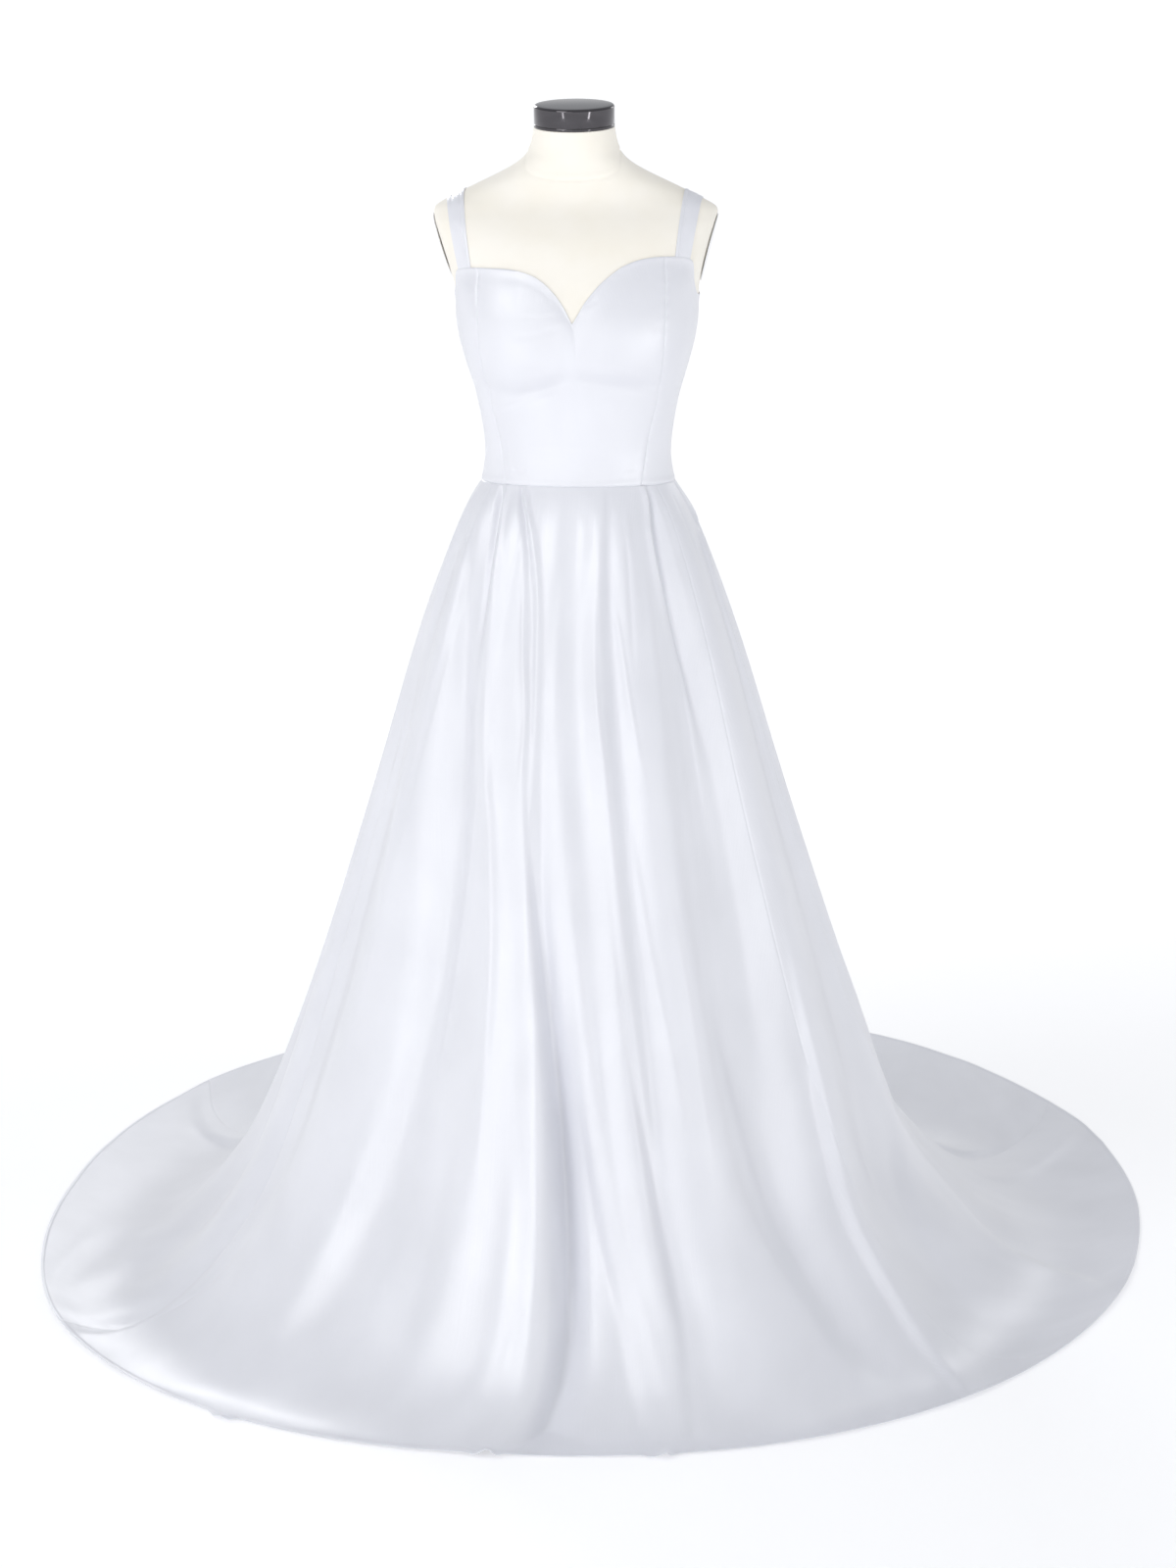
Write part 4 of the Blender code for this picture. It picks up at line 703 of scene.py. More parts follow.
def seam_sink(distance, along, depth):
    """How far the cloth sinks beside a seam, with the seam's slight puckers."""
    sink = depth * np.exp(-((distance / SEAM_SPREAD) ** 2))
    wave = np.sin(2 * math.pi * along / PUCKER_LENGTH + 1.7 * np.sin(along / 0.031))
    return sink + PUCKER_DEPTH * wave * np.exp(-((distance / PUCKER_REACH) ** 2))


def crowded_shares(low, high, columns):
    """Shares of the way between two angles, closer together round the lapped crease."""
    at = np.linspace(low, high, 600)
    density = 1 + CROWD_EXTRA * np.exp(-(((at - CROWD_ANGLE) / CROWD_SPREAD) ** 2))
    total = np.concatenate([[0.0], np.cumsum((density[1:] + density[:-1]) / 2)])
    angles = np.interp(np.linspace(0.0, total[-1], columns + 1), total, at)
    return (angles - low) / (high - low)


def panel_angles(surface, rows, low, high, columns):
    """Angles of a panel's columns, close together beside its seams, and their distances to a seam."""
    turn = 0.01
    edges = []
    for angle in (low, high):
        step = np.linalg.norm(surface(rows, angle + turn) - surface(rows, angle - turn), axis=-1) / (2 * turn)
        edges.append((angle[:, None], step[:, None]))
    (low, low_step), (high, high_step) = edges
    beside_low = low + SEAM_STEPS / low_step
    beside_high = high - SEAM_STEPS[::-1] / high_step
    shares = crowded_shares(np.mean(edges[0][0]), np.mean(edges[1][0]), columns)[1:-1]
    between = beside_low[:, -1:] + (beside_high[:, :1] - beside_low[:, -1:]) * shares
    angles = np.concatenate([beside_low, between, beside_high], axis=1)
    distance = np.minimum((angles - low) * low_step, (high - angles) * high_step)
    return angles, distance


def shell(name, outer, normals, thickness, body, material_name, floor=None):
    """Closed thin shell of cloth under a grid of points, with round upper and lower edges."""
    inner = outer - thickness * normals
    if floor is not None:
        inner[..., 2] = np.maximum(inner[..., 2], floor)
    middle = (outer + inner) / 2
    rows, columns = outer.shape[:2]
    rounds = []
    for end, before in ((-1, -2), (0, 1)):
        ahead = unit(outer[end] - outer[before]) * thickness / 2
        rounds.append(middle[end] + ahead)
    loop = [*outer, rounds[0], *inner[::-1], rounds[1]]
    u, v = cloth_lengths(outer)
    loop_u = [*u, u[-1], *u[::-1], u[0]]
    loop_v = [*v, v[-1], *v[::-1], v[0]]
    points = np.concatenate(loop)
    cloth = np.stack([np.concatenate(loop_u), np.concatenate(loop_v)], axis=-1)
    count = len(loop)
    faces = []
    for k in range(count):
        after = (k + 1) % count
        first = k * columns + np.arange(columns - 1)
        second = after * columns + np.arange(columns - 1)
        faces.append(np.stack([first, first + 1, second + 1, second], axis=-1))
    for side in (0, columns - 1):
        over = np.arange(rows - 1) * columns + side
        under = (2 * rows - np.arange(rows - 1)) * columns + side
        strip = [over, over + columns, under - columns, under]
        faces.append(np.stack(strip if side == 0 else strip[::-1], axis=-1))
    mesh = bpy.data.meshes.new(name)
    quads = np.concatenate(faces)
    corners = []
    for side, turned in ((0, 1), (columns - 1, -1)):
        bottom = [(rows - 1) * columns + side, rows * columns + side, (rows + 1) * columns + side]
        top = [2 * rows * columns + side, (2 * rows + 1) * columns + side, side]
        corners += [bottom[::turned], top[::turned]]
    mesh.from_pydata(points.tolist(), [], quads.tolist() + corners)
    obj = object_of(name, mesh, material_name)
    store_cloth_map(mesh, cloth)
    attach(obj, body)
    return obj


def store_cloth_map(mesh, cloth):
    """Keeps each point's place in the cut cloth, in metres, as the map that the weave reads."""
    layer = mesh.uv_layers.new(name="cloth")
    corner_points = np.zeros(len(mesh.loops), int)
    mesh.loops.foreach_get("vertex_index", corner_points)
    layer.data.foreach_set("uv", cloth[corner_points].astype(np.float32).ravel())


def object_of(name, mesh, material_name):
    """Object of a mesh, facing outwards, smooth, with its finish."""
    work = bmesh.new()
    work.from_mesh(mesh)
    bmesh.ops.recalc_face_normals(work, faces=work.faces)
    work.to_mesh(mesh)
    work.free()
    obj = bpy.data.objects.new(name, mesh)
    bpy.context.scene.collection.objects.link(obj)
    mesh.materials.append(MATERIALS[material_name])
    mesh.shade_smooth()
    mesh.set_sharp_from_angle(angle=math.radians(50))
    return obj


def linear(hex_colour):
    """sRGB hex colour as the linear values that the shaders take."""
    parts = [int(hex_colour[k : k + 2], 16) / 255 for k in (1, 3, 5)]
    return tuple(c / 12.92 if c <= 0.04045 else ((c + 0.055) / 1.055) ** 2.4 for c in parts)


def add_node(tree, kind, values=None, links=None, **settings):
    """Adds a node with its settings, its own values and the outputs that feed it."""
    node = tree.nodes.new(kind)
    for name, value in settings.items():
        setattr(node, name, value)
    for name, value in (values or {}).items():
        node.inputs[name].default_value = value
    for name, output in (links or {}).items():
        tree.links.new(output, node.inputs[name])
    return node


def new_material(name, **values):
    """Material with a Principled shader whose sockets hold what is the same all over."""
    material = bpy.data.materials.new(name)
    material.use_nodes = True
    tree = material.node_tree
    shader = tree.nodes["Principled BSDF"]
    for socket, value in values.items():
        shader.inputs[socket.replace("_", " ")].default_value = value
    return material, tree, shader


def mapped(tree, scale, source=None):
    """Coordinates stretched by a scale: the cloth's own where it has them, else the object's."""
    if source == "cloth":
        place = add_node(tree, "ShaderNodeUVMap", uv_map="cloth").outputs["UV"]
    else:
        place = add_node(tree, "ShaderNodeTexCoord").outputs["Object"]
    return add_node(tree, "ShaderNodeMapping", {"Scale": scale}, {"Vector": place}).outputs["Vector"]


def duchess_satin():
    """Duchess satin: long floats of fine filament give a soft, broad lustre on a cool white ground.

    Its threads lie about 0.1 mm apart, which no picture of the whole dress shows, so they are drawn
    0.7 mm apart and faint. The fine streaks along the warp are drawn at their own size, 3 mm.
    """
    material, tree, shader = new_material(
        "duchess_satin", Roughness=0.36, IOR=1.64, Specular_IOR_Level=1.0, Sheen_Weight=0.12, Sheen_Roughness=0.35, Anisotropic=0.6
    )
    across = add_node(tree, "ShaderNodeTangent", direction_type="UV_MAP", uv_map="cloth")
    tree.links.new(across.outputs["Tangent"], shader.inputs["Tangent"])
    streaks = add_node(
        tree, "ShaderNodeTexNoise", {"Scale": 1.0, "Detail": 3.0, "Roughness": 0.55},
        {"Vector": mapped(tree, (330.0, 7.0, 1.0), "cloth")},
    )
    clouds = add_node(
        tree, "ShaderNodeTexNoise", {"Scale": 1.0, "Detail": 2.0},
        {"Vector": mapped(tree, (9.0, 6.0, 1.0), "cloth")},
    )
    weft = add_node(
        tree, "ShaderNodeTexWave", {"Scale": 1.0, "Distortion": 0.6, "Detail": 1.0},
        {"Vector": mapped(tree, (120.0, 1430.0, 1.0), "cloth")}, bands_direction="Y",
    )
    tint = add_node(
        tree, "ShaderNodeValToRGB", {}, {"Fac": clouds.outputs["Fac"]},
    )
    tint.color_ramp.elements[0].position = 0.35
    tint.color_ramp.elements[0].color = (*linear("#E4E5EB"), 1.0)
    tint.color_ramp.elements[1].position = 0.65
    tint.color_ramp.elements[1].color = (*linear("#E9EAF0"), 1.0)
    tree.links.new(tint.outputs["Color"], shader.inputs["Base Color"])
    gloss = add_node(
        tree, "ShaderNodeMapRange",
        {"From Min": 0.3, "From Max": 0.7, "To Min": 0.30, "To Max": 0.38},
        {"Value": streaks.outputs["Fac"]},
    )
    tree.links.new(gloss.outputs["Result"], shader.inputs["Roughness"])
    streak_bump = add_node(
        tree, "ShaderNodeBump", {"Strength": 0.25, "Distance": 0.0006}, {"Height": streaks.outputs["Fac"]}
    )
    weave_bump = add_node(
        tree, "ShaderNodeBump", {"Strength": 0.12, "Distance": 0.0001},
        {"Height": weft.outputs["Fac"], "Normal": streak_bump.outputs["Normal"]},
    )
    tree.links.new(weave_bump.outputs["Normal"], shader.inputs["Normal"])
    return material


def cotton_cover():
    """Unbleached cotton jersey stretched over padding: matt, warm ivory, with a fine knit of 1 mm."""
    material, tree, shader = new_material("ivory_cotton_cover", Roughness=0.85, Sheen_Weight=0.25)
    shader.inputs["Specular IOR Level"].default_value = 0.25
    mottle = add_node(
        tree, "ShaderNodeTexNoise", {"Scale": 14.0, "Detail": 4.0}, {"Vector": mapped(tree, (1, 1, 1))}
    )
    tint = add_node(tree, "ShaderNodeValToRGB", {}, {"Fac": mottle.outputs["Fac"]})
    tint.color_ramp.elements[0].position = 0.3
    tint.color_ramp.elements[0].color = (*linear("#F8F3E7"), 1.0)
    tint.color_ramp.elements[1].position = 0.7
    tint.color_ramp.elements[1].color = (*linear("#FCF8EF"), 1.0)
    tree.links.new(tint.outputs["Color"], shader.inputs["Base Color"])
    knit = add_node(
        tree, "ShaderNodeTexNoise", {"Scale": 1.0, "Detail": 1.0},
        {"Vector": mapped(tree, (900.0, 900.0, 500.0))},
    )
    bump = add_node(
        tree, "ShaderNodeBump", {"Strength": 0.2, "Distance": 0.0002}, {"Height": knit.outputs["Fac"]}
    )
    tree.links.new(bump.outputs["Normal"], shader.inputs["Normal"])
    return material


def brushed_steel(name, scale, colour="#B9B9BC", roughness=(0.22, 0.36)):
    """Stainless steel brushed along one way: scratches about 0.3 mm apart draw out its highlights."""
    material, tree, shader = new_material(name, Metallic=1.0)
    shader.inputs["Base Color"].default_value = (*linear(colour), 1.0)
    scratches = add_node(
        tree, "ShaderNodeTexNoise", {"Scale": 1.0, "Detail": 2.0}, {"Vector": mapped(tree, scale)}
    )
    gloss = add_node(
        tree, "ShaderNodeMapRange",
        {"From Min": 0.3, "From Max": 0.7, "To Min": roughness[0], "To Max": roughness[1]},
        {"Value": scratches.outputs["Fac"]},
    )
    tree.links.new(gloss.outputs["Result"], shader.inputs["Roughness"])
    bump = add_node(
        tree, "ShaderNodeBump", {"Strength": 0.15, "Distance": 0.0001}, {"Height": scratches.outputs["Fac"]}
    )
    tree.links.new(bump.outputs["Normal"], shader.inputs["Normal"])
    return material


def enamel(name, colour, roughness, scale):
    """Stove enamel on metal: even colour, soft gloss, and the faint ripple of sprayed paint."""
    material, tree, shader = new_material(name, IOR=1.5)
    shader.inputs["Base Color"].default_value = (*linear(colour), 1.0)
    ripple = add_node(
        tree, "ShaderNodeTexNoise", {"Scale": scale, "Detail": 2.0}, {"Vector": mapped(tree, (1, 1, 1))}
    )
    gloss = add_node(
        tree, "ShaderNodeMapRange",
        {"From Min": 0.3, "From Max": 0.7, "To Min": roughness, "To Max": roughness + 0.08},
        {"Value": ripple.outputs["Fac"]},
    )
    tree.links.new(gloss.outputs["Result"], shader.inputs["Roughness"])
    bump = add_node(
        tree, "ShaderNodeBump", {"Strength": 0.1, "Distance": 0.0002}, {"Height": ripple.outputs["Fac"]}
    )
    tree.links.new(bump.outputs["Normal"], shader.inputs["Normal"])
    return material


def studio_floor():
    """White floor for pictures on plain white: matt, with a slight grain, and a painted glow of its own, weaker near
    the dress and stronger far away.
    """
    material, tree, shader = new_material("white_floor_painted_glow", Roughness=0.9)
    grain = add_node(
        tree, "ShaderNodeTexNoise", {"Scale": 3.0, "Detail": 2.0}, {"Vector": mapped(tree, (1, 1, 1))}
    )
    tint = add_node(tree, "ShaderNodeValToRGB", {}, {"Fac": grain.outputs["Fac"]})
    tint.color_ramp.elements[0].color = (*linear("#F4F4F5"), 1.0)
    tint.color_ramp.elements[1].color = (*linear("#F6F6F7"), 1.0)
    tree.links.new(tint.outputs["Color"], shader.inputs["Base Color"])
    # Painted glow: the floor shines by itself, weaker near the dress and stronger far away, so that the far floor
    # shows as plain white.
    shader.inputs["Emission Color"].default_value = (1.0, 1.0, 1.0, 1.0)
    place = add_node(tree, "ShaderNodeTexCoord").outputs["Object"]
    away = add_node(tree, "ShaderNodeVectorMath", {}, {"Vector": place}, operation="LENGTH")
    glow = add_node(
        tree, "ShaderNodeMapRange",
        {
            "From Min": FLOOR_GLOW_FROM[0], "From Max": FLOOR_GLOW_FROM[1],
            "To Min": FLOOR_GLOW[0], "To Max": FLOOR_GLOW[1],
        },
        {"Value": away.outputs["Value"]},
    )
    tree.links.new(glow.outputs["Result"], shader.inputs["Emission Strength"])
    return material


MATERIALS = {
    "satin": duchess_satin(),
    "cover": cotton_cover(),
    # The cap's dark grey colour, far darker than steel, is painted shade: it stands in for the dark surroundings that
    # its band reflects, while the lamps give its bright streaks.
    "cap": brushed_steel("brushed_steel_cap_painted_shade", (6.0, 6.0, 2600.0), "#59575A", (0.07, 0.10)),
    # The armplates' near-white colour, far lighter than steel, is painted light: it keeps their rims, seen edge on in
    # shade, from showing dark.
    "plate": brushed_steel("brushed_steel_plate_painted_light", (40.0, 900.0, 40.0), "#EFEFF0", (0.35, 0.5)),
    "pole": brushed_steel("chromed_steel_pole", (300.0, 300.0, 20.0), "#C4C4C8", (0.12, 0.2)),
    "enamel": enamel("black_stove_enamel", "#1E1F22", 0.4, 300.0),
    "zip": enamel("white_zip_enamel", "#EDEFF5", 0.3, 900.0),
    "floor": studio_floor(),
}


def build_skirt():
    nominal = np.linspace(0.0, 1.0, SKIRT_ROWS) * HEM_STATION
    for row in GORES:
        gore = dict(zip(GORE_COLUMNS, row))
        low = np.full(SKIRT_ROWS + len(HEM_STEPS), float(gore["from_angle"]))
        high = np.full(SKIRT_ROWS + len(HEM_STEPS), float(gore["to_angle"]))
        rows = np.concatenate([nominal, np.full(len(HEM_STEPS), float(HEM_STATION))])
        angles, distance = panel_angles(skirt_surface, rows, low, high, gore["columns"])
        at_hem = skirt_surface(HEM_STATION + 0 * angles[-1], angles[-1])
        inside = skirt_surface(HEM_STATION - 0.05 + 0 * angles[-1], angles[-1])
        station_length = np.linalg.norm(at_hem - inside, axis=-1) / 0.05
        last = HEM_STATION - HEM_STEPS[:, None] / station_length
        above = last[0] - 0.004 / station_length
        stations = np.concatenate([nominal[:, None] / HEM_STATION * above, last])
        outer = skirt_surface(stations, angles)
        normals = grid_normals(outer, 1.0)
        to_hem = -np.flip(lengths_along(np.flip(outer, 0), 0), 0)
        normals *= np.sign(np.sum(normals[5, 5] * (outer[5, 5] - [0.0, 0.0, 1.0])))
        down = -lengths_along(outer, 0)
        sink = seam_sink(distance, down, SKIRT_SEAM_DEPTH)
        hem = HEM_THICK * ease(to_hem, -HEM_WIDTH - 0.0015, -HEM_WIDTH)
        outer += (hem - sink)[..., None] * normals
        outer[..., 2] = np.maximum(outer[..., 2], CLOTH)
        obj = shell(gore["name"] + "_cloth", outer, normals, CLOTH, DRESS_BODY, "satin", 0.0)
        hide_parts(gore["name"])


def neckline_height(x):
    """Sweetheart edge of the front panel at a distance from the middle."""
    share = np.clip(np.abs(x - NOTCH_X) / NECKLINE_HALF, 0.0, 1.0)
    on_left = x > NOTCH_X
    corner = np.where(on_left, CORNER_HEIGHT_LEFT, CORNER_HEIGHT_RIGHT)
    roundness = np.where(on_left, NECKLINE_ROUNDNESS_LEFT, NECKLINE_ROUNDNESS_RIGHT)
    return NOTCH_HEIGHT + (corner - NOTCH_HEIGHT) * (1 - (1 - share) ** roundness)


EDGE_ANGLES = column(EDGE_COLUMNS, TOP_EDGE, "angle")
EDGE_HEIGHT = smooth_curve(EDGE_ANGLES, column(EDGE_COLUMNS, TOP_EDGE, "height"))
EDGE_SHARE = smooth_curve(EDGE_ANGLES, column(EDGE_COLUMNS, TOP_EDGE, "share_of_corner"))
PRINCESS_HEIGHTS = column(PRINCESS_COLUMNS, PRINCESS, "height")
PRINCESS_X = smooth_curve(PRINCESS_HEIGHTS, column(PRINCESS_COLUMNS, PRINCESS, "front_x"))
PRINCESS_BACK = smooth_curve(PRINCESS_HEIGHTS, column(PRINCESS_COLUMNS, PRINCESS, "back_angle"))


def edge_height(angle):
    """Upper edge of the bodice at the sides and the back."""
    turned_from_front = (np.asarray(angle, float) + 180) % 360 - 180
    size = np.abs(turned_from_front)
    drop = CORNER_HEIGHT_LEFT - CORNER_HEIGHT_RIGHT
    return EDGE_HEIGHT(size) - np.where(turned_from_front < 0, drop * EDGE_SHARE(size), 0.0)


def seam_angle(seam, height):
    """Angle of a named seam of the bodice at a height."""
    if seam == "princess":
        power = BODICE_CURVES["front_square"](height) / 2
        share = PRINCESS_X(height) / BODICE_CURVES["half_width"](height)
        return np.degrees(np.arcsin(share**power))
    if seam == "side":
        return 90.0 + 0 * height
    if seam == "back_princess":
        return PRINCESS_BACK(height)
    return 180.0 + 0 * height


def seam_top(seam, way):
    """Height at which a seam meets the bodice's upper edge on one side of the body."""
    height = ARMHOLE_BOTTOM
    for _ in range(SETTLING_ROUNDS):
        angle = seam_angle(seam, np.array(height))
        if seam == "princess":
            height = float(neckline_height(way * PRINCESS_X(height)))
        else:
            height = float(edge_height(way * angle))
    return height


def front_edge(angles):
    """Sweetheart edge as a function of the angle."""
    heights = np.full(len(angles), CORNER_HEIGHT_RIGHT)
    for _ in range(SETTLING_ROUNDS):
        x = ring_point(BODICE_CURVES, heights, angles)[:, 0]
        heights = (heights + neckline_height(x)) / 2
    return heights


def bodice_cloth(name, low_seam, high_seam, columns, edge, cut):
    """One panel between two seams, each named with its side of the body, under its own upper edge."""
    bottom = WAIST + SEAM_GAP
    up = np.linspace(0.0, 1.0, BODICE_ROWS)
    tops = [seam_top(*seam) for seam in (low_seam, high_seam)]
    low, high = [
        way * seam_angle(seam, bottom + (top - bottom) * up)
        for (seam, way), top in zip((low_seam, high_seam), tops)
    ]
    rough = bottom + (np.mean(tops) - bottom) * up
    angles, distance = panel_angles(bodice_surface, rough, low, high, columns)
    upper_edge = edge(angles[-1])
    heights = bottom + (upper_edge - bottom) * up[:, None]
    outer = bodice_surface(heights, angles)
    normals = grid_normals(outer, 1.0)
    middle = columns // 2
    outward = outer[middle // 2, middle] - [0.0, 0.0, heights[middle // 2, middle]]
    normals *= np.sign(np.sum(normals[middle // 2, middle] * outward))
    on_form = torso_surface(heights, angles)
    on_form[..., 2] = outer[..., 2]
    hugged = on_form + (CLOTH + EDGE_CLEAR) * normals
    to_edge = np.exp(-(((upper_edge - heights) / EDGE_HUG) ** 2))[..., None]
    outer += EDGE_SHARE_HUGGED * to_edge * np.sum((hugged - outer) * normals, axis=-1, keepdims=True) * normals
    sink = seam_sink(distance, heights, SEAM_DEPTH)
    allowance = 0.0007 * np.exp(-(((heights - bottom - 0.0035) / 0.0030) ** 2))
    edge_roll = 0.0004 * np.exp(-(((upper_edge - heights) / 0.0040) ** 2))
    outer += (allowance + edge_roll - sink)[..., None] * normals
    obj = shell(name + "_cloth", outer, normals, CLOTH, DRESS_BODY, "satin")
    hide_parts(name)


def build_bodice():
    bodice_cloth("bodice_front", ("princess", -1), ("princess", 1), FRONT_COLUMNS, front_edge, FRONT_CUT)
    for side, way in (("left", 1), ("right", -1)):
        for row in BODICE_PANELS:
            panel = dict(zip(PANEL_COLUMNS, row))
            seams = [(panel["front_seam"], way), (panel["back_seam"], way)][::way]
            cut = (panel["cut_width"], panel["cut_length"], panel["cut_area"])
            bodice_cloth(f"{panel['name']}_{side}", *seams, panel["columns"], edge_height, cut)


def form_y(x, height, back):
    """Where a lengthwise line at x meets the form's front or back at a height."""
    power = TORSO_CURVES["front_square"](height)
    share = np.clip(x / TORSO_CURVES["half_width"](height), 0.0, 1.0)
    bulge = (1 - share**power) ** (1 / power)
    side = TORSO_CURVES["side"](height)
    edge = TORSO_CURVES["back"](height) if back else TORSO_CURVES["front"](height)
    return side + (edge - side) * bulge


def strap_line(share, way):
    """Evenly spaced points over the shoulder, from the inner (0) to the outer (1) edge of a strap."""
    ridge_x = STRAP_RIDGE_X[0] + share * (STRAP_RIDGE_X[1] - STRAP_RIDGE_X[0])
    levels = np.linspace(*SHOULDER_HEIGHTS, 3 * STRAP_STEPS)
    widths = TORSO_CURVES["half_width"](levels)
    ridge = float(levels[np.argmin(np.abs(widths - ridge_x))])
    halves = []
    for (inner_angle, outer_angle), back in ((STRAP_FRONT_ANGLES, False), (STRAP_BACK_ANGLES, True)):
        angle = inner_angle + share * (outer_angle - inner_angle)
        foot = float(edge_height(way * angle)) - STRAP_TUCK
        foot_x = float(ring_point(TORSO_CURVES, np.array(foot), np.array(angle))[0])
        rise = 1 - (1 - np.linspace(0.0, 1.0, STRAP_STEPS)) ** 2
        heights = foot + (ridge - foot) * rise
        x = foot_x + (ridge_x - foot_x) * (heights - foot) / (ridge - foot)
        line = np.stack([x, form_y(x, heights, back), heights], axis=-1)
        halves.append(line[::-1] if back else line)
    line = np.concatenate([halves[0], halves[1][1:]])
    lengths = np.concatenate([[0.0], np.cumsum(np.linalg.norm(np.diff(line, axis=0), axis=1))])
    at = np.linspace(0.0, lengths[-1], STRAP_STATIONS)
    even = np.stack([np.interp(at, lengths, line[:, k]) for k in range(3)], axis=-1)
    even[:, 0] = even[:, 0] * way + lean(even[:, 2])
    return even


def build_straps():
    for side, way in (("left", 1), ("right", -1)):
        shares = np.linspace(0.0, 1.0, STRAP_LINES)
        grid = np.stack([strap_line(share, way) for share in shares], axis=1)
        normals = unit(np.cross(np.gradient(grid, axis=1), np.gradient(grid, axis=0))) * way
        along = np.linspace(0.0, 1.0, STRAP_STATIONS)[:, None]
        crown = 0.0005 * np.sin(math.pi * shares)
        turned_edge = 0.0004 * (np.exp(-(((shares - 0.12) / 0.05) ** 2)) - np.exp(-(((shares - 0.22) / 0.04) ** 2)))
        wave = 0.0003 * np.sin(2 * math.pi * (3.2 * along + 0.8 * shares)) * np.sin(math.pi * along)
        over_shoulder = np.exp(-(((along - 0.42) / 0.06) ** 2))
        crease = -0.0008 * over_shoulder * np.exp(-(((shares - 0.74) / 0.07) ** 2))
        lift = STRAP_CLEAR + STRAP_CLOTH + crown + turned_edge + wave + crease
        outer = grid + lift[..., None] * normals
        obj = shell(f"strap_{side}_cloth", outer, normals, STRAP_CLOTH, DRESS_BODY, "satin")
        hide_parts(f"strap_{side}")


def build_torso():
    """Padded form under its stretched cover, closed at the hip cut and at the neck plate."""
    columns = 192
    angles = np.arange(columns) * 360 / columns
    heights = np.concatenate([
        np.linspace(TORSO_HEIGHTS[0], 1.30, 60)[:-1],
        np.linspace(1.30, 1.50, 110)[:-1],
        np.linspace(1.50, 1.525, 40)[:-1],
        np.linspace(1.525, NECK_TOP, 12),
    ])
    points = torso_surface(heights[:, None] + 0 * angles, angles + 0 * heights[:, None])
    rows = len(heights)
    quads = []
    for k in range(rows - 1):
        first = k * columns + np.arange(columns)
        second = k * columns + (np.arange(columns) + 1) % columns
        quads.append(np.stack([first, second, second + columns, first + columns], axis=-1))
    lids = [list(range(columns)), list(range((rows - 1) * columns, rows * columns))]
    mesh = bpy.data.meshes.new("form_torso_cover")
    mesh.from_pydata(points.reshape(-1, 3).tolist(), [], np.concatenate(quads).tolist() + lids)
    obj = object_of("form_torso_cover", mesh, "cover")
    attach(obj, DRESS_BODY)
    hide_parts("form_torso")


def turned(name, profile, material_name, segments=128):
    """Turned piece from points (radius, height) between two points on the axis."""
    angles = np.arange(segments) * 2 * math.pi / segments
    points = [(0.0, 0.0, profile[0][1]), (0.0, 0.0, profile[-1][1])]
    for radius, height in profile[1:-1]:
        points += [(radius * math.cos(a), radius * math.sin(a), height) for a in angles]
    faces = []
    rings = len(profile) - 2
    for k in range(segments):
        after = (k + 1) % segments
        faces.append((0, 2 + k, 2 + after))
        for ring in range(rings - 1):
            start = 2 + ring * segments
            faces.append((start + k, start + segments + k, start + segments + after, start + after))
        start = 2 + (rings - 1) * segments
        faces.append((1, start + after, start + k))
    mesh = bpy.data.meshes.new(name)
    mesh.from_pydata(points, [], faces)
    return object_of(name, mesh, material_name)


def arc(centre, radius, start, end, count):
    """Points of a rounded edge in a turned profile, angles in degrees from +X."""
    turns = np.radians(np.linspace(start, end, count))
    return [(centre[0] + radius * math.cos(t), centre[1] + radius * math.sin(t)) for t in turns]


def build_neck_cap():
    """Steel cap with a softly domed top, a rounded shoulder and a fine line round its foot."""
    shares = np.linspace(0.0, 0.93, 14)
    profile = [(CAP_RADIUS * share, CAP_HEIGHT + CAP_DOME * (1 - share**2)) for share in shares]
    profile = profile[:-1]
    profile += arc((CAP_RADIUS - CAP_EDGE, CAP_HEIGHT - CAP_EDGE), CAP_EDGE, 86, 0, 9)
    groove = 0.0035
    profile += [(CAP_RADIUS, groove + 0.0006), (CAP_RADIUS - 0.0005, groove), (CAP_RADIUS, groove - 0.0006)]
    profile += [(CAP_RADIUS, 0.0004), (CAP_RADIUS - 0.0004, 0.0), (0.0, 0.0)]
    cap = turned("form_neck_cap_steel", profile, "cap")
    seat = NECK_TOP + math.tan(NECK_TILT) * CAP_Y + SEAM_GAP / math.cos(NECK_TILT)
    place = Matrix.Translation((LEAN, CAP_Y, seat)) @ Euler((NECK_TILT, 0.0, 0.0)).to_matrix().to_4x4()
    cap.data.transform(place)
    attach(cap, DRESS_BODY)
    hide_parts("form_neck_cap")


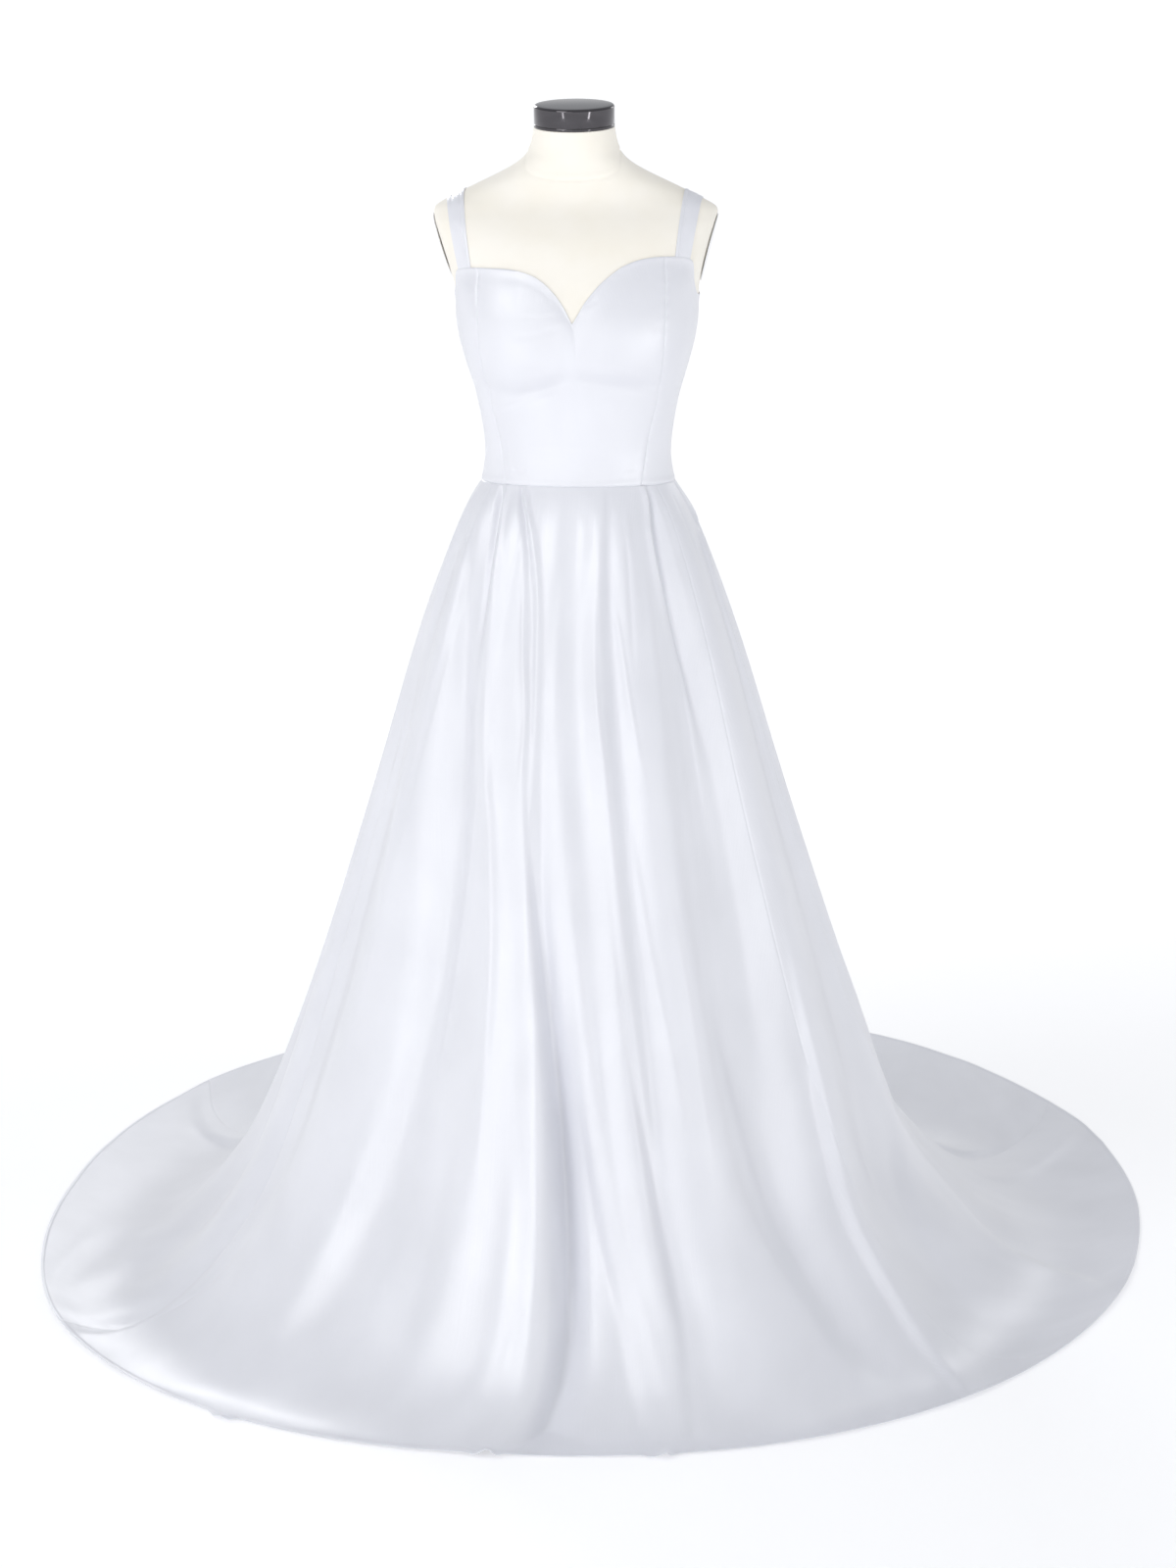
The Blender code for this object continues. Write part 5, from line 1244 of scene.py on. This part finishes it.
def build_armplates():
    """Flat steel ovals with rounded rims on the form's arm cuts."""
    heights = np.array([-1.0, 1.0]) * ARMPLATE_HALF_HEIGHT + ARMPLATE_CENTRE_HEIGHT
    half = ARMPLATE_THICK / 2
    edge = ARMPLATE_EDGE / ARMPLATE_HALF_HEIGHT
    for side, way in (("left", 1), ("right", -1)):
        low_out, high_out = arm_plane(heights) + way * lean(heights)
        slope = math.atan2(high_out - low_out, heights[1] - heights[0])
        profile = [(0.0, half), (0.5, half)]
        profile += [(1 - edge, half), (1 - edge * 0.3, half - ARMPLATE_EDGE * 0.3), (1.0, half - ARMPLATE_EDGE)]
        profile += [(1.0, ARMPLATE_EDGE - half), (1 - edge, -half), (0.0, -half)]
        plate = turned(f"form_armplate_{side}_steel", profile, "plate", 96)
        normal = Vector((math.cos(slope) * way, 0.0, -math.sin(slope)))
        out = way * (low_out + high_out) / 2
        on_plane = Vector((out, ARMPLATE_CENTRE_Y, ARMPLATE_CENTRE_HEIGHT))
        seat = Matrix.Translation(on_plane + normal * (ARMPLATE_CLEAR + half))
        turn = Euler((0.0, way * (math.pi / 2 + slope), 0.0)).to_matrix().to_4x4()
        size = Matrix.Diagonal((ARMPLATE_HALF_HEIGHT, ARMPLATE_HALF_DEPTH, 1.0, 1.0))
        plate.data.transform(seat @ turn @ size)
        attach(plate, DRESS_BODY)
        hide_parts(f"form_armplate_{side}")


def finish_cad_nodes():
    """Finishes of the nodes whose own shape is right."""
    for node, material_name in (
        ("form_pole", "pole"), ("form_base", "enamel"), ("zip_slider", "zip"), ("zip_pull", "zip"),
    ):
        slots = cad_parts[node].material_slots
        for place in slots:
            place.material = MATERIALS[material_name]


def build_room():
    """Plain pale floor."""
    mesh = bpy.data.meshes.new("floor")
    half = FLOOR_HALF
    mesh.from_pydata([(-half, -half, 0), (half, -half, 0), (half, half, 0), (-half, half, 0)], [], [(0, 1, 2, 3)])
    floor = bpy.data.objects.new("floor", mesh)
    bpy.context.scene.collection.objects.link(floor)
    mesh.materials.append(MATERIALS["floor"])
    floor.location.z = -0.0002


def add_softbox(name, place, aim, size, power, spread):
    """Large soft lamp at a place, aimed at a point."""
    lamp = bpy.data.lights.new(name, "AREA")
    lamp.shape = "RECTANGLE"
    lamp.size, lamp.size_y = size
    lamp.energy = power
    lamp.spread = math.radians(spread)
    obj = bpy.data.objects.new(name, lamp)
    bpy.context.scene.collection.objects.link(obj)
    obj.location = place
    obj.rotation_euler = (Vector(aim) - Vector(place)).to_track_quat("-Z", "Y").to_euler()


def build_light():
    """Soft light from the front, as in a white studio: walls are bright and the ceiling is dimmer."""
    world = bpy.data.worlds.new("studio")
    bpy.context.scene.world = world
    world.use_nodes = True
    tree = world.node_tree
    way = add_node(tree, "ShaderNodeTexCoord")
    parts = add_node(tree, "ShaderNodeSeparateXYZ", {}, {"Vector": way.outputs["Generated"]})
    sky = add_node(tree, "ShaderNodeValToRGB", {}, {"Fac": parts.outputs["Z"]})
    sky.color_ramp.elements[0].position = 0.02
    sky.color_ramp.elements[0].color = WALL_LIGHT
    sky.color_ramp.elements[1].position = 0.30
    sky.color_ramp.elements[1].color = CEILING_LIGHT
    background = tree.nodes["Background"]
    tree.links.new(sky.outputs["Color"], background.inputs["Color"])
    background.inputs["Strength"].default_value = 1.0
    for lamp in SOFTBOXES:
        add_softbox(*lamp)
    bpy.context.scene.view_settings.view_transform = "Standard"
    bpy.context.scene.view_settings.look = "None"
    bpy.context.scene.view_settings.exposure = EXPOSURE


def build_camera():
    data = bpy.data.cameras.new("camera")
    data.sensor_fit = "AUTO"
    data.sensor_width = SENSOR
    data.lens = LENS
    data.shift_x = FORM_LEFT_OF_MIDDLE
    camera = bpy.data.objects.new("camera", data)
    bpy.context.scene.collection.objects.link(camera)
    x, y = math.sin(CAMERA_TURN) * CAMERA_DISTANCE, -math.cos(CAMERA_TURN) * CAMERA_DISTANCE
    camera.location = (x, y, CAMERA_HEIGHT)
    camera.rotation_euler = (math.pi / 2 - CAMERA_DOWN, 0.0, CAMERA_TURN)
    bpy.context.scene.camera = camera


build_camera()
build_torso()
build_neck_cap()
build_armplates()
build_bodice()
build_straps()
build_skirt()
finish_cad_nodes()
build_room()
build_light()
